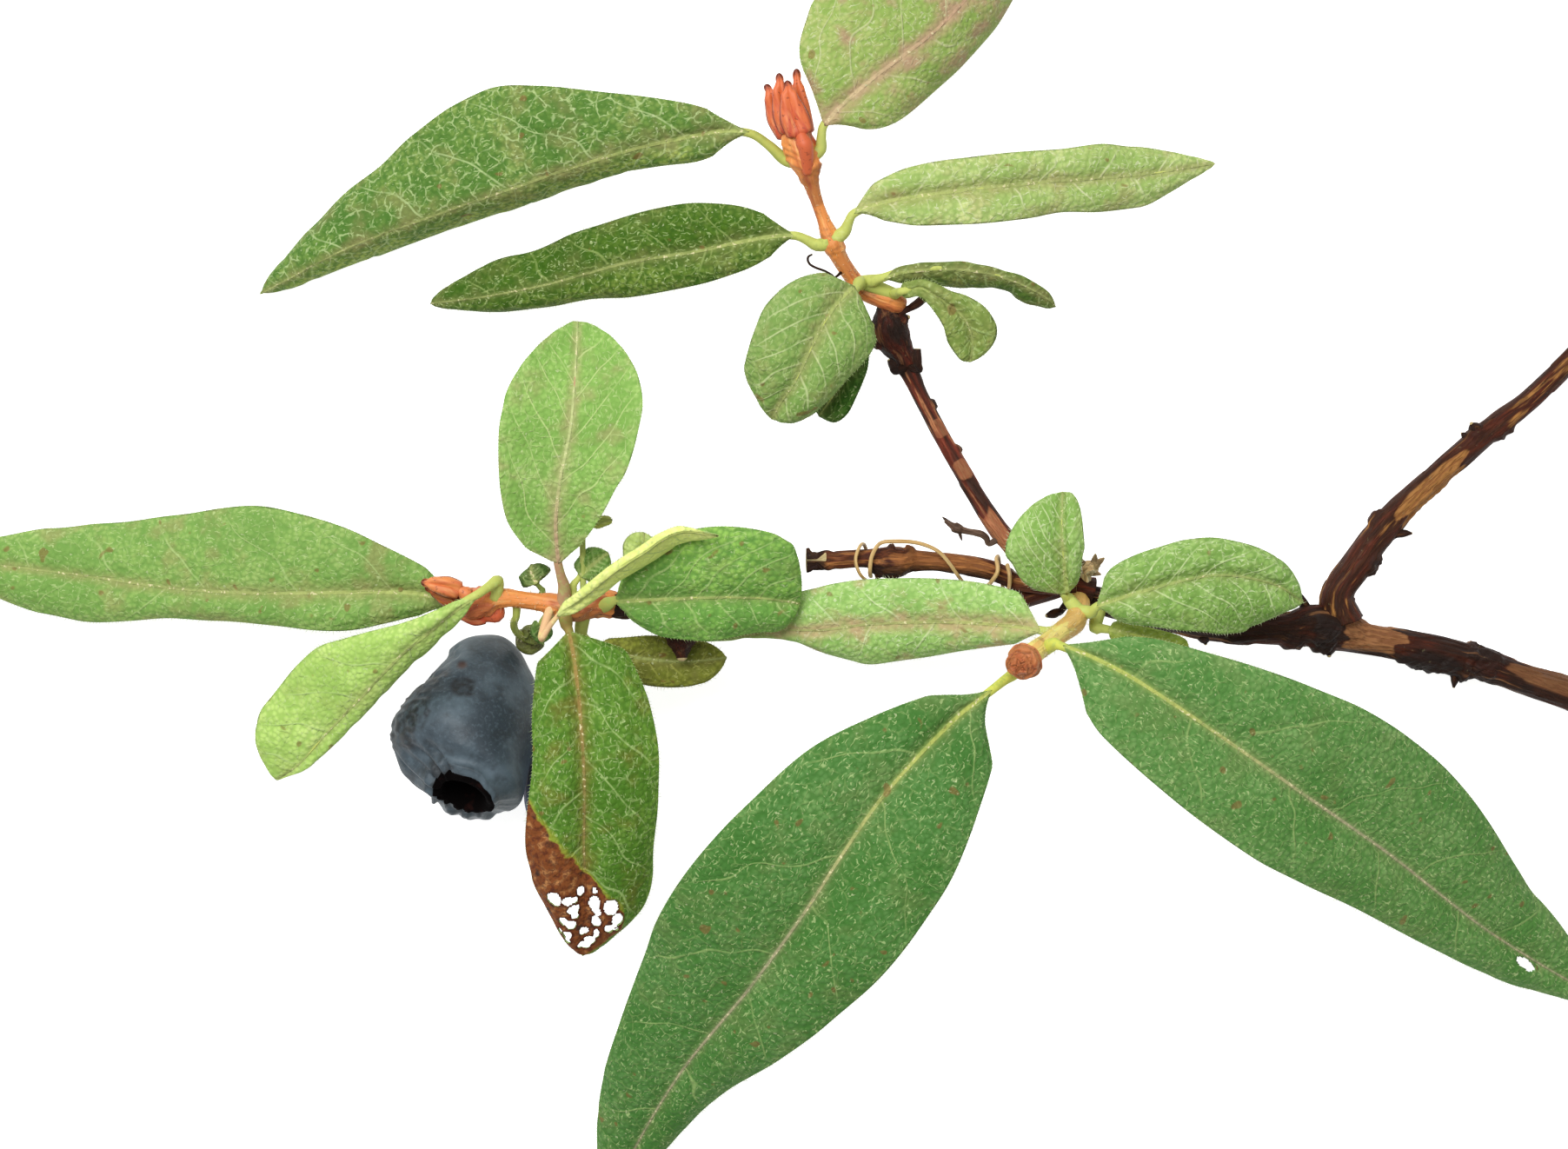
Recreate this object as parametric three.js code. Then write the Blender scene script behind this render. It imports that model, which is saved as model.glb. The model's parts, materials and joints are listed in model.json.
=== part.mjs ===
// A cut sprig of blue honeysuckle (haskap) with two ripe berries, lying on a table.
// Millimetres, +Z up. The table top is the plane z = 0 and the origin is the middle of the sprig's
// footprint on it. +X runs along the old wood towards its cut end.
//
// Every piece is a skin over closed rings: a stem is a row of circles, a leaf is a row of thin
// curved sections, and a berry is a row of rounded sections that turns in at its mouth.
import * as THREE from 'three';
import { ParametricGeometry } from 'three/addons/geometries/ParametricGeometry.js';
import { mergeVertices } from 'three/addons/utils/BufferGeometryUtils.js';

// Driving dimensions.
const LEAF_THICKNESS = 0.5; // blade, thicker than the living leaf so that it stays a sound solid
const KEEL = 0.25; // how far the midrib stands below the blade
const STALK_RADIUS = 0.5; // leaf stalk
const STEM_SIDES = 8;
const BERRY_SIDES = 16;
const TENDRIL_RADIUS = 0.22;
const TENDRIL_SIDES = 6;
const ACROSS_TOP = [1, 2 / 3, 1 / 3, 0, -1 / 3, -2 / 3, -1]; // left margin to right margin
const ACROSS_BOTTOM = [-1 / 2, 0, 1 / 2]; // and back underneath
const UP = new THREE.Vector3(0, 0, 1);

const COLOUR = {
  bark: 0x4a2c18,
  darkBark: 0x2a1a10,
  greenWood: 0xd0853f,
  paleShoot: 0xcdc766,
  leafDark: 0x4a7a2c,
  leaf: 0x6d9646,
  leafPale: 0x97bd62,
  leafYellow: 0xa7a84e,
  budScale: 0xd9683f,
  budRound: 0xb4703a,
  berry: 0x56636a,
  stalk: 0x8f9d48,
  tendril: 0xe3c890,
};

// ---- shared shapes -------------------------------------------------------------------------

const point = ([x, y, z]) => new THREE.Vector3(x, y, z);

// A smooth curve through numbers that stand at equal steps from 0 to 1.
function smooth(values) {
  const steps = values.map((_, i) => i / (values.length - 1));
  const through = new THREE.CubicInterpolant(steps, values, 1);
  return (t) => through.evaluate(t)[0];
}

// A closed skin over rings of equal count. The first and last ring are single points, repeated.
function skin(rings) {
  const last = rings.length - 1;
  const count = rings[0].length;
  const geometry = new ParametricGeometry(
    (u, v, target) => target.copy(rings[Math.round(v * last)][Math.round(u * count) % count]),
    count,
    last,
  );
  geometry.deleteAttribute('normal');
  geometry.deleteAttribute('uv');
  const merged = mergeVertices(geometry, 1e-4);
  const corners = merged.index.array;
  const kept = [];
  for (let i = 0; i < corners.length; i += 3) {
    const [a, b, c] = corners.slice(i, i + 3);
    if (a !== b && b !== c && c !== a) kept.push(a, b, c);
  }
  merged.setIndex(kept);
  merged.computeVertexNormals();
  return merged;
}

function mesh(name, rings, colour, roughness) {
  const material = new THREE.MeshStandardMaterial({ color: colour, roughness, metalness: 0 });
  const made = new THREE.Mesh(skin(rings), material);
  made.name = name;
  return made;
}

const pole = (centre, count) => Array.from({ length: count }, () => centre.clone());

// One circle of radius r round centre, in the plane of two unit vectors.
function circle(centre, across, over, r, count) {
  return Array.from({ length: count }, (_, i) => {
    const angle = (2 * Math.PI * i) / count;
    return centre
      .clone()
      .addScaledVector(across, r * Math.cos(angle))
      .addScaledVector(over, r * Math.sin(angle));
  });
}

// ---- stems ---------------------------------------------------------------------------------

// A stem follows rows of [x, y, z, radius]. Its ends are cut square, or close to a point where
// the end radius is small.
function stem(name, rows, colour, { steps = 2, sides = STEM_SIDES } = {}) {
  const path = new THREE.CatmullRomCurve3(rows.map(point));
  const radius = smooth(rows.map((row) => row[3]));
  const count = (rows.length - 1) * steps;
  const frames = path.computeFrenetFrames(count, false);
  const rings = [pole(path.getPoint(0), sides)];
  for (let i = 0; i <= count; i++) {
    const t = path.getUtoTmapping(i / count);
    rings.push(circle(path.getPoint(t), frames.normals[i], frames.binormals[i], radius(t), sides));
  }
  rings.push(pole(path.getPoint(1), sides));
  return mesh(name, rings, colour, 0.85);
}

// ---- leaves --------------------------------------------------------------------------------

// One section of a leaf. half.left and half.right hold how far each margin stands out and rises
// from the midrib, thick is half the thickness there and keel how far the midrib stands below.
function leafSection(centre, side, up, half, thick, keel, arch) {
  const at = (s, face) => {
    const { out, rise } = s >= 0 ? half.left : half.right;
    const way = s >= 0 ? 1 : -1;
    const reach = Math.abs(s);
    const length = Math.hypot(out, rise) || 1;
    const lean = s === 0 ? [0, 1] : [(-way * rise) / length, out / length];
    const bow = 4 * reach * (1 - reach) * arch;
    const offset = face * thick * Math.sqrt(Math.max(0, 1 - s * s)) + bow;
    const drop = face < 0 && s === 0 ? keel : 0;
    return centre
      .clone()
      .addScaledVector(side, way * out * reach + lean[0] * offset)
      .addScaledVector(up, rise * reach + lean[1] * offset - drop);
  };
  return [...ACROSS_TOP.map((s) => at(s, 1)), ...ACROSS_BOTTOM.map((s) => at(s, -1))];
}

// A leaf follows rows of [x, y, z, left, right, leftRise, rightRise] along its midrib: the two
// half widths, and how far each margin stands above the midrib. The first two rows are its
// stalk, and the last is its tip. round shapes the tip: 1 is pointed, 2 is a half ellipse.
function leaf(name, rows, colour, { round = 1.4, steps = 2, arch = 0.3, stalk = STALK_RADIUS } = {}) {
  const rib = new THREE.CatmullRomCurve3(rows.map(point));
  const last = rows.length - 1;
  const shape = [3, 4, 5, 6].map((column) => smooth(rows.map((row) => row[column] ?? 0)));
  const beforeTip = (last - 1) / last;
  const widths = (t) => {
    if (t <= beforeTip) return shape.map((curve) => curve(t));
    const s = (t - beforeTip) * last;
    const close = (1 - s ** round) ** (1 / round);
    return shape.map((curve) => curve(beforeTip) * close);
  };
  const stations = [0.03 / last, 0.5 / last];
  for (let i = steps; i < (last - 1) * steps; i++) stations.push(i / (last * steps));
  for (const s of [0, 0.35, 0.65, 0.88]) stations.push((last - 1 + s) / last);
  const count = ACROSS_TOP.length + ACROSS_BOTTOM.length;
  const rings = [pole(rib.getPoint(0), count)];
  for (const t of stations) {
    const ahead = rib.getTangent(t);
    const side = new THREE.Vector3().crossVectors(UP, ahead).normalize();
    const up = new THREE.Vector3().crossVectors(ahead, side);
    const inBlade = THREE.MathUtils.smoothstep(t * last, 1, 2);
    const thick = THREE.MathUtils.lerp(stalk, LEAF_THICKNESS / 2, inBlade);
    const [left, right, leftRise, rightRise] = widths(t);
    const half = {
      left: { out: Math.abs(leftRise) > thick ? left : Math.max(left, thick), rise: leftRise },
      right: { out: Math.abs(rightRise) > thick ? right : Math.max(right, thick), rise: rightRise },
    };
    const nearTip = THREE.MathUtils.clamp((1 - t) * last * 2, 0.3, 1);
    const keel = KEEL * inBlade * nearTip;
    rings.push(leafSection(rib.getPoint(t), side, up, half, thick * nearTip, keel, arch * inBlade));
  }
  rings.push(pole(rib.getPoint(1), count));
  return mesh(name, rings, colour, 0.6);
}

// ---- berries and buds ----------------------------------------------------------------------

// A fruit or bud: rows of [distance along the axis, radius, sideways shift] from centre, along a
// direction. A row may turn back along the axis, which makes a hollow mouth.
function fruit(name, centre, axis, rows, colour, sides = BERRY_SIDES) {
  const along = point(axis).normalize();
  const across = new THREE.Vector3().crossVectors(UP, along).normalize();
  const over = new THREE.Vector3().crossVectors(along, across);
  const rings = rows.map(([distance, r, shift = 0]) => {
    const spot = point(centre).addScaledVector(along, distance).addScaledVector(across, shift);
    return r === 0 ? pole(spot, sides) : circle(spot, across, over, r, sides);
  });
  return mesh(name, rings, colour, 0.5);
}

// ---- the sprig -----------------------------------------------------------------------------

const oldWood = () => [
  stem('main_stem', [
    [86.0, -14.8, 1.8, 1.7],
    [78.0, -11.9, 2.3, 1.62],
    [72.3, -10.0, 2.8, 1.5],
    [67.1, -8.3, 3.5, 1.45],
    [60.1, -6.8, 4.6, 1.5],
    [56.6, -6.1, 5.1, 1.65],
    [53.2, -5.1, 6.0, 2.3],
    [49.6, -5.4, 6.6, 1.6],
    [42.6, -5.2, 7.6, 1.4],
    [37.4, -4.3, 8.8, 1.3],
    [31.8, -2.8, 10.0, 1.25],
    [28.4, -2.1, 10.8, 1.2],
  ], COLOUR.bark),
  stem('fork_branch', [
    [54.6, -2.0, 6.6, 1.6],
    [57.0, 1.7, 6.6, 1.5],
    [59.5, 4.8, 6.4, 1.4],
    [63.9, 9.0, 5.5, 1.25],
    [69.4, 13.8, 4.3, 1.2],
    [73.4, 16.9, 3.5, 1.1],
    [78.4, 21.4, 2.2, 1.0],
    [84.2, 26.9, 1.05, 1.0],
  ], COLOUR.bark),
  stem('upper_twig', [
    [25.6, -0.3, 12.2, 1.0],
    [23.6, 1.5, 12.3, 1.0],
    [21.8, 3.4, 12.0, 0.97],
    [20.5, 5.1, 11.6, 0.93],
    [18.3, 8.6, 11.0, 0.82],
    [16.3, 12.0, 10.7, 0.8],
    [14.5, 15.4, 10.6, 0.72],
    [12.8, 18.8, 10.7, 0.78],
    [11.6, 21.5, 10.9, 1.05],
    [10.4, 23.7, 11.2, 1.7],
    [10.2, 25.4, 11.5, 1.2],
    [9.9, 27.1, 11.8, 0.45],
  ], COLOUR.bark),
  stem('cut_stub', [
    [2.2, 1.3, 11.4, 0.8],
    [4.9, 1.35, 11.2, 0.9],
    [8.3, 1.5, 11.0, 0.88],
    [10.6, 1.25, 10.8, 1.4],
    [13.4, 1.3, 10.6, 0.88],
    [16.8, 1.0, 10.4, 0.93],
    [20.2, 0.4, 10.1, 0.93],
    [23.2, -0.8, 10.0, 0.8],
  ], COLOUR.bark),
  stem('lower_twig', [
    [22.9, -2.6, 8.4, 1.05],
    [20.0, -3.8, 7.8, 1.1],
    [16.8, -3.8, 7.8, 1.1],
    [8.3, -3.8, 8.2, 1.1],
    [-0.2, -3.5, 9.2, 1.1],
    [-8.7, -3.3, 10.4, 1.1],
    [-13.8, -3.2, 11.3, 1.1],
    [-17.9, -2.9, 12.2, 1.2],
  ], COLOUR.bark),
];

const smallWood = () => [
  stem('dead_twiglet', [
    [20.1, 3.0, 12.2, 0.35],
    [19.5, 3.8, 12.5, 0.42],
    [17.8, 4.2, 13.0, 0.38],
    [16.8, 4.5, 13.2, 0.5],
    [15.7, 5.2, 13.4, 0.2],
  ], COLOUR.darkBark, { sides: 6 }),
  stem('brown_twiglet', [
    [12.1, 25.9, 12.3, 0.32],
    [13.0, 26.4, 12.7, 0.42],
    [13.8, 27.1, 13.1, 0.42],
  ], COLOUR.darkBark, { sides: 6 }),
  stem('upper_spur_right', [
    [13.2, 20.0, 12.3, 0.35],
    [13.0, 21.0, 12.8, 0.5],
    [13.0, 22.0, 13.0, 0.4],
  ], COLOUR.darkBark, { sides: 6 }),
  stem('upper_spur_left', [
    [10.9, 19.8, 12.2, 0.35],
    [10.6, 20.4, 12.5, 0.4],
    [10.2, 20.9, 12.8, 0.15],
  ], COLOUR.darkBark, { sides: 6 }),
  stem('dead_stub', [
    [27.2, -3.6, 9.8, 0.35],
    [26.4, -3.9, 10.3, 0.45],
    [25.7, -4.1, 10.7, 0.2],
  ], COLOUR.darkBark, { sides: 6 }),
  stem('old_bud_scales', [
    [29.6, 0.0, 12.0, 0.5],
    [29.9, 0.5, 12.3, 0.85],
    [30.5, 0.7, 12.6, 0.6],
  ], COLOUR.bark, { sides: 6 }),
  stem('dried_curl', [
    [5.0, 28.9, 14.7, 0.2],
    [4.0, 29.5, 14.6, 0.2],
    [3.2, 29.8, 14.5, 0.2],
    [2.5, 30.2, 14.5, 0.2],
    [2.3, 30.8, 14.6, 0.2],
    [2.7, 31.1, 14.7, 0.15],
  ], COLOUR.darkBark, { sides: 6 }),
  stem('tendril', [
    [8.1, -0.6, 11.9, TENDRIL_RADIUS],
    [7.5, -0.1, 12.5, TENDRIL_RADIUS],
    [7.0, 1.3, 12.8, TENDRIL_RADIUS],
    [7.4, 2.7, 12.0, TENDRIL_RADIUS],
    [7.9, 2.8, 10.2, TENDRIL_RADIUS],
    [8.3, 1.3, 9.2, TENDRIL_RADIUS],
    [8.5, -0.2, 10.5, TENDRIL_RADIUS],
    [8.4, 0.3, 12.3, TENDRIL_RADIUS],
    [8.6, 1.8, 12.7, TENDRIL_RADIUS],
    [9.4, 3.0, 12.6, TENDRIL_RADIUS],
    [10.9, 3.2, 12.8, TENDRIL_RADIUS],
    [13.2, 3.0, 12.8, TENDRIL_RADIUS],
    [15.1, 2.2, 12.4, TENDRIL_RADIUS],
    [16.2, 1.0, 12.0, TENDRIL_RADIUS],
    [17.0, -0.1, 11.3, TENDRIL_RADIUS],
    [17.8, -1.0, 10.2, TENDRIL_RADIUS],
    [18.9, -1.4, 9.8, TENDRIL_RADIUS],
    [19.8, -1.2, 10.2, TENDRIL_RADIUS],
    [20.4, -0.6, 11.4, TENDRIL_RADIUS],
    [20.9, 0.3, 11.8, TENDRIL_RADIUS],
    [20.8, 1.5, 11.0, TENDRIL_RADIUS],
    [21.0, 1.7, 9.9, TENDRIL_RADIUS],
    [21.3, 0.1, 8.5, TENDRIL_RADIUS],
    [21.6, -1.5, 9.1, TENDRIL_RADIUS],
    [22.0, -1.5, 10.7, TENDRIL_RADIUS],
    [22.1, -0.2, 11.5, TENDRIL_RADIUS],
    [21.9, 0.9, 10.9, TENDRIL_RADIUS],
  ], COLOUR.tendril, { sides: TENDRIL_SIDES, steps: 3 }),
];

const greenShoots = () => [
  stem('upper_shoot', [
    [8.0, 27.5, 12.6, 0.85],
    [6.8, 28.8, 13.0, 0.78],
    [5.5, 30.7, 13.4, 0.8],
    [4.6, 32.6, 13.8, 0.95],
    [3.9, 34.4, 14.0, 0.65],
    [3.05, 36.7, 14.4, 0.6],
    [2.4, 38.7, 14.8, 0.85],
    [1.9, 40.2, 15.0, 1.0],
  ], COLOUR.greenWood),
  stem('left_shoot', [
    [-18.5, -3.0, 12.4, 1.1],
    [-21.0, -3.2, 12.8, 1.1],
    [-23.5, -2.8, 13.0, 0.85],
    [-25.7, -2.5, 13.0, 0.8],
    [-27.5, -2.3, 13.0, 0.95],
    [-29.2, -2.6, 12.9, 1.05],
  ], COLOUR.greenWood),
  stem('centre_shoot', [
    [28.9, -3.2, 12.6, 0.9],
    [28.3, -4.6, 15.2, 0.95],
    [26.9, -5.6, 18.5, 0.95],
    [25.2, -6.7, 21.4, 0.95],
    [24.0, -7.5, 23.4, 1.0],
  ], COLOUR.paleShoot),
];

const SCALE = { stalk: 0.35, steps: 1, round: 1.1, arch: 0.2 };

const buds = () => [
  leaf('upper_bud_scale_1', [
    [1.1, 41.4, 14.6, 0.35, 0.35],
    [0.5, 42.4, 14.4, 0.7, 0.7],
    [-0.4, 44.5, 14.2, 0.9, 0.85],
    [-1.1, 46.3, 14.4, 0.6, 0.55],
    [-1.8, 47.7, 14.8, 0, 0],
  ], COLOUR.budScale, SCALE),
  leaf('upper_bud_scale_2', [
    [1.4, 41.5, 15.9, 0.35, 0.35],
    [1.0, 42.8, 15.8, 0.9, 0.9],
    [0.3, 44.8, 15.7, 1.0, 1.0],
    [-0.3, 46.8, 15.8, 0.6, 0.6],
    [-0.5, 48.7, 16.0, 0, 0],
  ], COLOUR.budScale, SCALE),
  leaf('upper_bud_scale_3', [
    [2.1, 41.3, 17.0, 0.35, 0.35],
    [1.7, 42.4, 17.0, 0.9, 0.9],
    [1.0, 44.3, 17.0, 1.0, 1.0],
    [0.5, 46.3, 17.0, 0.6, 0.6],
    [0.3, 47.9, 17.2, 0, 0],
  ], COLOUR.budScale, SCALE),
  leaf('upper_bud_scale_4', [
    [2.5, 41.4, 15.0, 0.35, 0.35],
    [2.2, 42.6, 14.8, 0.7, 0.6],
    [1.8, 44.8, 14.6, 0.7, 0.6],
    [1.4, 47.0, 14.7, 0.5, 0.45],
    [1.2, 49.2, 15.0, 0, 0],
  ], COLOUR.budScale, SCALE),
  leaf('left_bud_scale_1', [
    [-30.6, -2.2, 13.8, 0.35, 0.35],
    [-31.4, -1.7, 14.0, 0.6, 0.6],
    [-32.8, -1.2, 14.2, 0.75, 0.7],
    [-34.2, -0.9, 14.3, 0.5, 0.45],
    [-35.4, -0.8, 14.4, 0, 0],
  ], COLOUR.budScale, SCALE),
  leaf('left_bud_scale_2', [
    [-30.7, -2.8, 12.8, 0.35, 0.35],
    [-31.5, -2.6, 12.8, 0.7, 0.6],
    [-32.8, -2.1, 12.8, 0.8, 0.7],
    [-34.0, -1.6, 12.9, 0.5, 0.5],
    [-35.1, -1.2, 13.0, 0, 0],
  ], COLOUR.budScale, SCALE),
  leaf('left_bud_scale_3', [
    [-28.0, -3.8, 12.2, 0.3, 0.3],
    [-29.0, -4.1, 12.0, 0.5, 0.4],
    [-30.2, -4.2, 11.9, 0.6, 0.5],
    [-31.4, -3.9, 11.8, 0.45, 0.4],
    [-32.4, -3.5, 11.8, 0, 0],
  ], COLOUR.budScale, SCALE),
  fruit('centre_bud', [22.9, -8.4, 26.2], [-0.35, -0.3, 0.9], [
    [-1.5, 0],
    [-1.3, 0.7],
    [-0.7, 1.35],
    [0.0, 1.5],
    [0.7, 1.3],
    [1.2, 0.75],
    [1.5, 0],
  ], COLOUR.budRound, 12),
];

const berries = () => [
  fruit('berry_large', [-31.1, -15.0, 7.12], [-0.14, -0.88, 0.45], [
    [-9.8, 0, 1.5],
    [-9.4, 1.9, 1.4],
    [-8.0, 3.6, 1.1],
    [-5.4, 5.1, 0.95],
    [-2.7, 6.0, 0.5],
    [0.0, 6.8, 0.0],
    [2.4, 7.1, -0.4],
    [4.4, 6.9, -0.2],
    [6.2, 6.2, 0.3],
    [7.6, 5.0, 0.9],
    [8.3, 3.7, 1.3],
    [7.9, 3.0, 1.2],
    [6.2, 2.6, 1.1],
    [4.8, 1.8, 1.0],
    [4.4, 0, 0.9],
  ], COLOUR.berry),
  fruit('berry_small', [-21.0, -20.2, 4.45], [-0.35, -0.92, 0.08], [
    [-6.0, 0],
    [-5.7, 1.4],
    [-4.4, 3.1],
    [-2.0, 4.2],
    [0.6, 4.35],
    [3.0, 3.9],
    [4.8, 2.8],
    [5.6, 2.0],
    [5.3, 1.3],
    [4.4, 0],
  ], COLOUR.berry),
  stem('berry_stalk', [
    [-26.2, -4.1, 11.9, 0.35],
    [-26.5, -4.9, 10.6, 0.35],
    [-26.3, -5.7, 8.9, 0.35],
    [-25.8, -6.1, 7.6, 0.4],
  ], COLOUR.stalk, { sides: 6 }),
  fruit('berry_cup', [-25.0, -6.3, 6.3], [-0.3, -0.5, -0.8], [
    [-1.3, 0],
    [-1.2, 0.5],
    [-0.6, 1.1],
    [0.3, 1.35],
    [0.9, 1.2],
    [0.7, 0.7],
    [0.3, 0],
  ], COLOUR.stalk, 12),
];

const upperLeaves = () => [
  leaf('leaf_upper_left', [
    [0.1, 40.4, 14.4, 0.5, 0.5],
    [-3.4, 43.0, 15.0, 1.0, 0.6],
    [-8.6, 42.6, 15.4, 2.4, 3.1, -1.0, 0.6],
    [-17.1, 40.6, 15.0, 1.5, 6.7, -4.0, 0.8],
    [-25.7, 37.9, 13.0, 1.5, 10.1, -6.0, -0.5],
    [-34.3, 35.1, 10.3, 1.1, 8.2, -6.4, -1.5],
    [-43.1, 32.1, 7.0, 1.2, 4.8, -4.4, -2.0],
    [-49.3, 29.2, 3.1, 0.5, 2.3, -2.0, -1.0],
    [-52.3, 27.9, 0.2, 0, 0],
  ], COLOUR.leafDark, { arch: 0.5 }),
  leaf('leaf_top_right', [
    [3.5, 41.3, 15.2, 0.5, 0.5],
    [4.0, 43.6, 15.8, 1.4, 0.9],
    [6.2, 46.0, 16.6, 6.8, 3.9, 0.3, -0.6],
    [9.2, 48.5, 17.0, 9.6, 4.8, 0.5, -2.0],
    [15.0, 53.0, 16.5, 9.9, 4.1, 0.5, -3.5],
    [21.0, 60.0, 14.0, 7.6, 3.2, 0, -3.0],
    [26.3, 67.8, 10.0, 0, 0],
  ], COLOUR.leafPale, { round: 1.6, arch: 0.6 }),
  leaf('leaf_second_left', [
    [3.2, 32.1, 13.7, 0.5, 0.5],
    [1.0, 33.0, 13.9, 0.9, 0.9],
    [-3.6, 32.5, 13.4, 2.6, 3.4, 0, 0.3],
    [-8.7, 31.5, 12.2, 3.1, 4.8, -0.6, 0.3],
    [-15.5, 30.5, 10.5, 3.3, 4.5, -1.2, 0],
    [-22.4, 28.7, 8.5, 2.2, 3.9, -1.5, -0.8],
    [-29.4, 27.4, 6.3, 1.5, 2.9, -1.5, -1.0],
    [-35.1, 26.8, 4.0, 0, 0],
  ], COLOUR.leafDark, { round: 1.7 }),
  leaf('leaf_second_right', [
    [5.9, 33.4, 14.3, 0.5, 0.5],
    [6.9, 35.1, 15.0, 0.9, 0.7],
    [8.8, 35.9, 15.4, 1.9, 1.5],
    [12.5, 36.6, 15.8, 2.9, 2.8, 0.5, 0.4],
    [19.3, 37.5, 15.6, 3.2, 3.4, 0.8, 0.4],
    [27.0, 38.3, 14.0, 3.1, 3.1, 0.5, -0.3],
    [34.7, 39.0, 12.0, 3.0, 3.1, -0.2, -0.8],
    [42.4, 40.3, 10.0, 0, 0],
  ], COLOUR.leaf, { round: 1.2 }),
  leaf('leaf_rolled', [
    [8.7, 28.6, 14.2, 0.5, 0.5],
    [9.8, 28.9, 14.7, 0.6, 0.6],
    [12.6, 29.4, 15.2, 0.8, 1.1, -0.6, -2.4],
    [17.7, 29.5, 15.4, 0.9, 1.6, -0.8, -3.0],
    [22.6, 28.4, 14.6, 0.8, 0.6, -0.6, -2.8],
    [25.3, 27.1, 13.4, 0.7, 1.7, -0.3, -1.2],
    [26.6, 26.1, 12.6, 0, 0],
  ], COLOUR.leafDark, { round: 1.8, arch: 0.3 }),
  leaf('leaf_spoon', [
    [10.6, 27.4, 13.0, 0.4, 0.4],
    [11.6, 27.5, 15.2, 0.7, 0.8, 0.5, 0.5],
    [13.4, 27.7, 17.1, 0.9, 0.9, 0.4, 0.4],
    [15.5, 26.5, 16.8, 1.1, 1.5, 0.4, 0.4],
    [17.6, 24.7, 16.2, 2.2, 2.4, 0.4, 0.4],
    [18.3, 22.6, 15.4, 2.4, 2.0, 0.3, 0.3],
    [18.1, 20.6, 15.0, 0, 0],
  ], COLOUR.leaf, { round: 2, arch: 0.2 }),
  leaf('leaf_hanging', [
    [7.3, 28.3, 14.8, 0.5, 0.5],
    [6.6, 27.7, 16.2, 3.0, 2.0],
    [5.0, 26.0, 18.0, 5.2, 4.4, -0.8, 0],
    [3.1, 22.8, 19.0, 5.2, 5.9, -1.2, 0.3],
    [1.2, 18.8, 18.6, 3.8, 5.3, -1.2, 0],
    [-0.3, 16.6, 17.4, 2.7, 4.2, -0.8, -0.3],
    [-1.2, 15.0, 16.2, 0, 0],
  ], COLOUR.leaf, { round: 2.2, arch: 0.8 }),
  leaf('leaf_hanging_behind', [
    [8.2, 23.5, 11.6, 0.4, 0.4],
    [7.6, 22.6, 12.4, 0.9, 0.9],
    [6.7, 20.8, 13.0, 1.6, 2.4],
    [5.3, 18.2, 13.0, 1.9, 2.8],
    [4.1, 16.4, 12.6, 1.9, 1.8],
    [3.4, 15.4, 12.2, 0, 0],
  ], COLOUR.leafDark, { round: 2.2 }),
];

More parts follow.
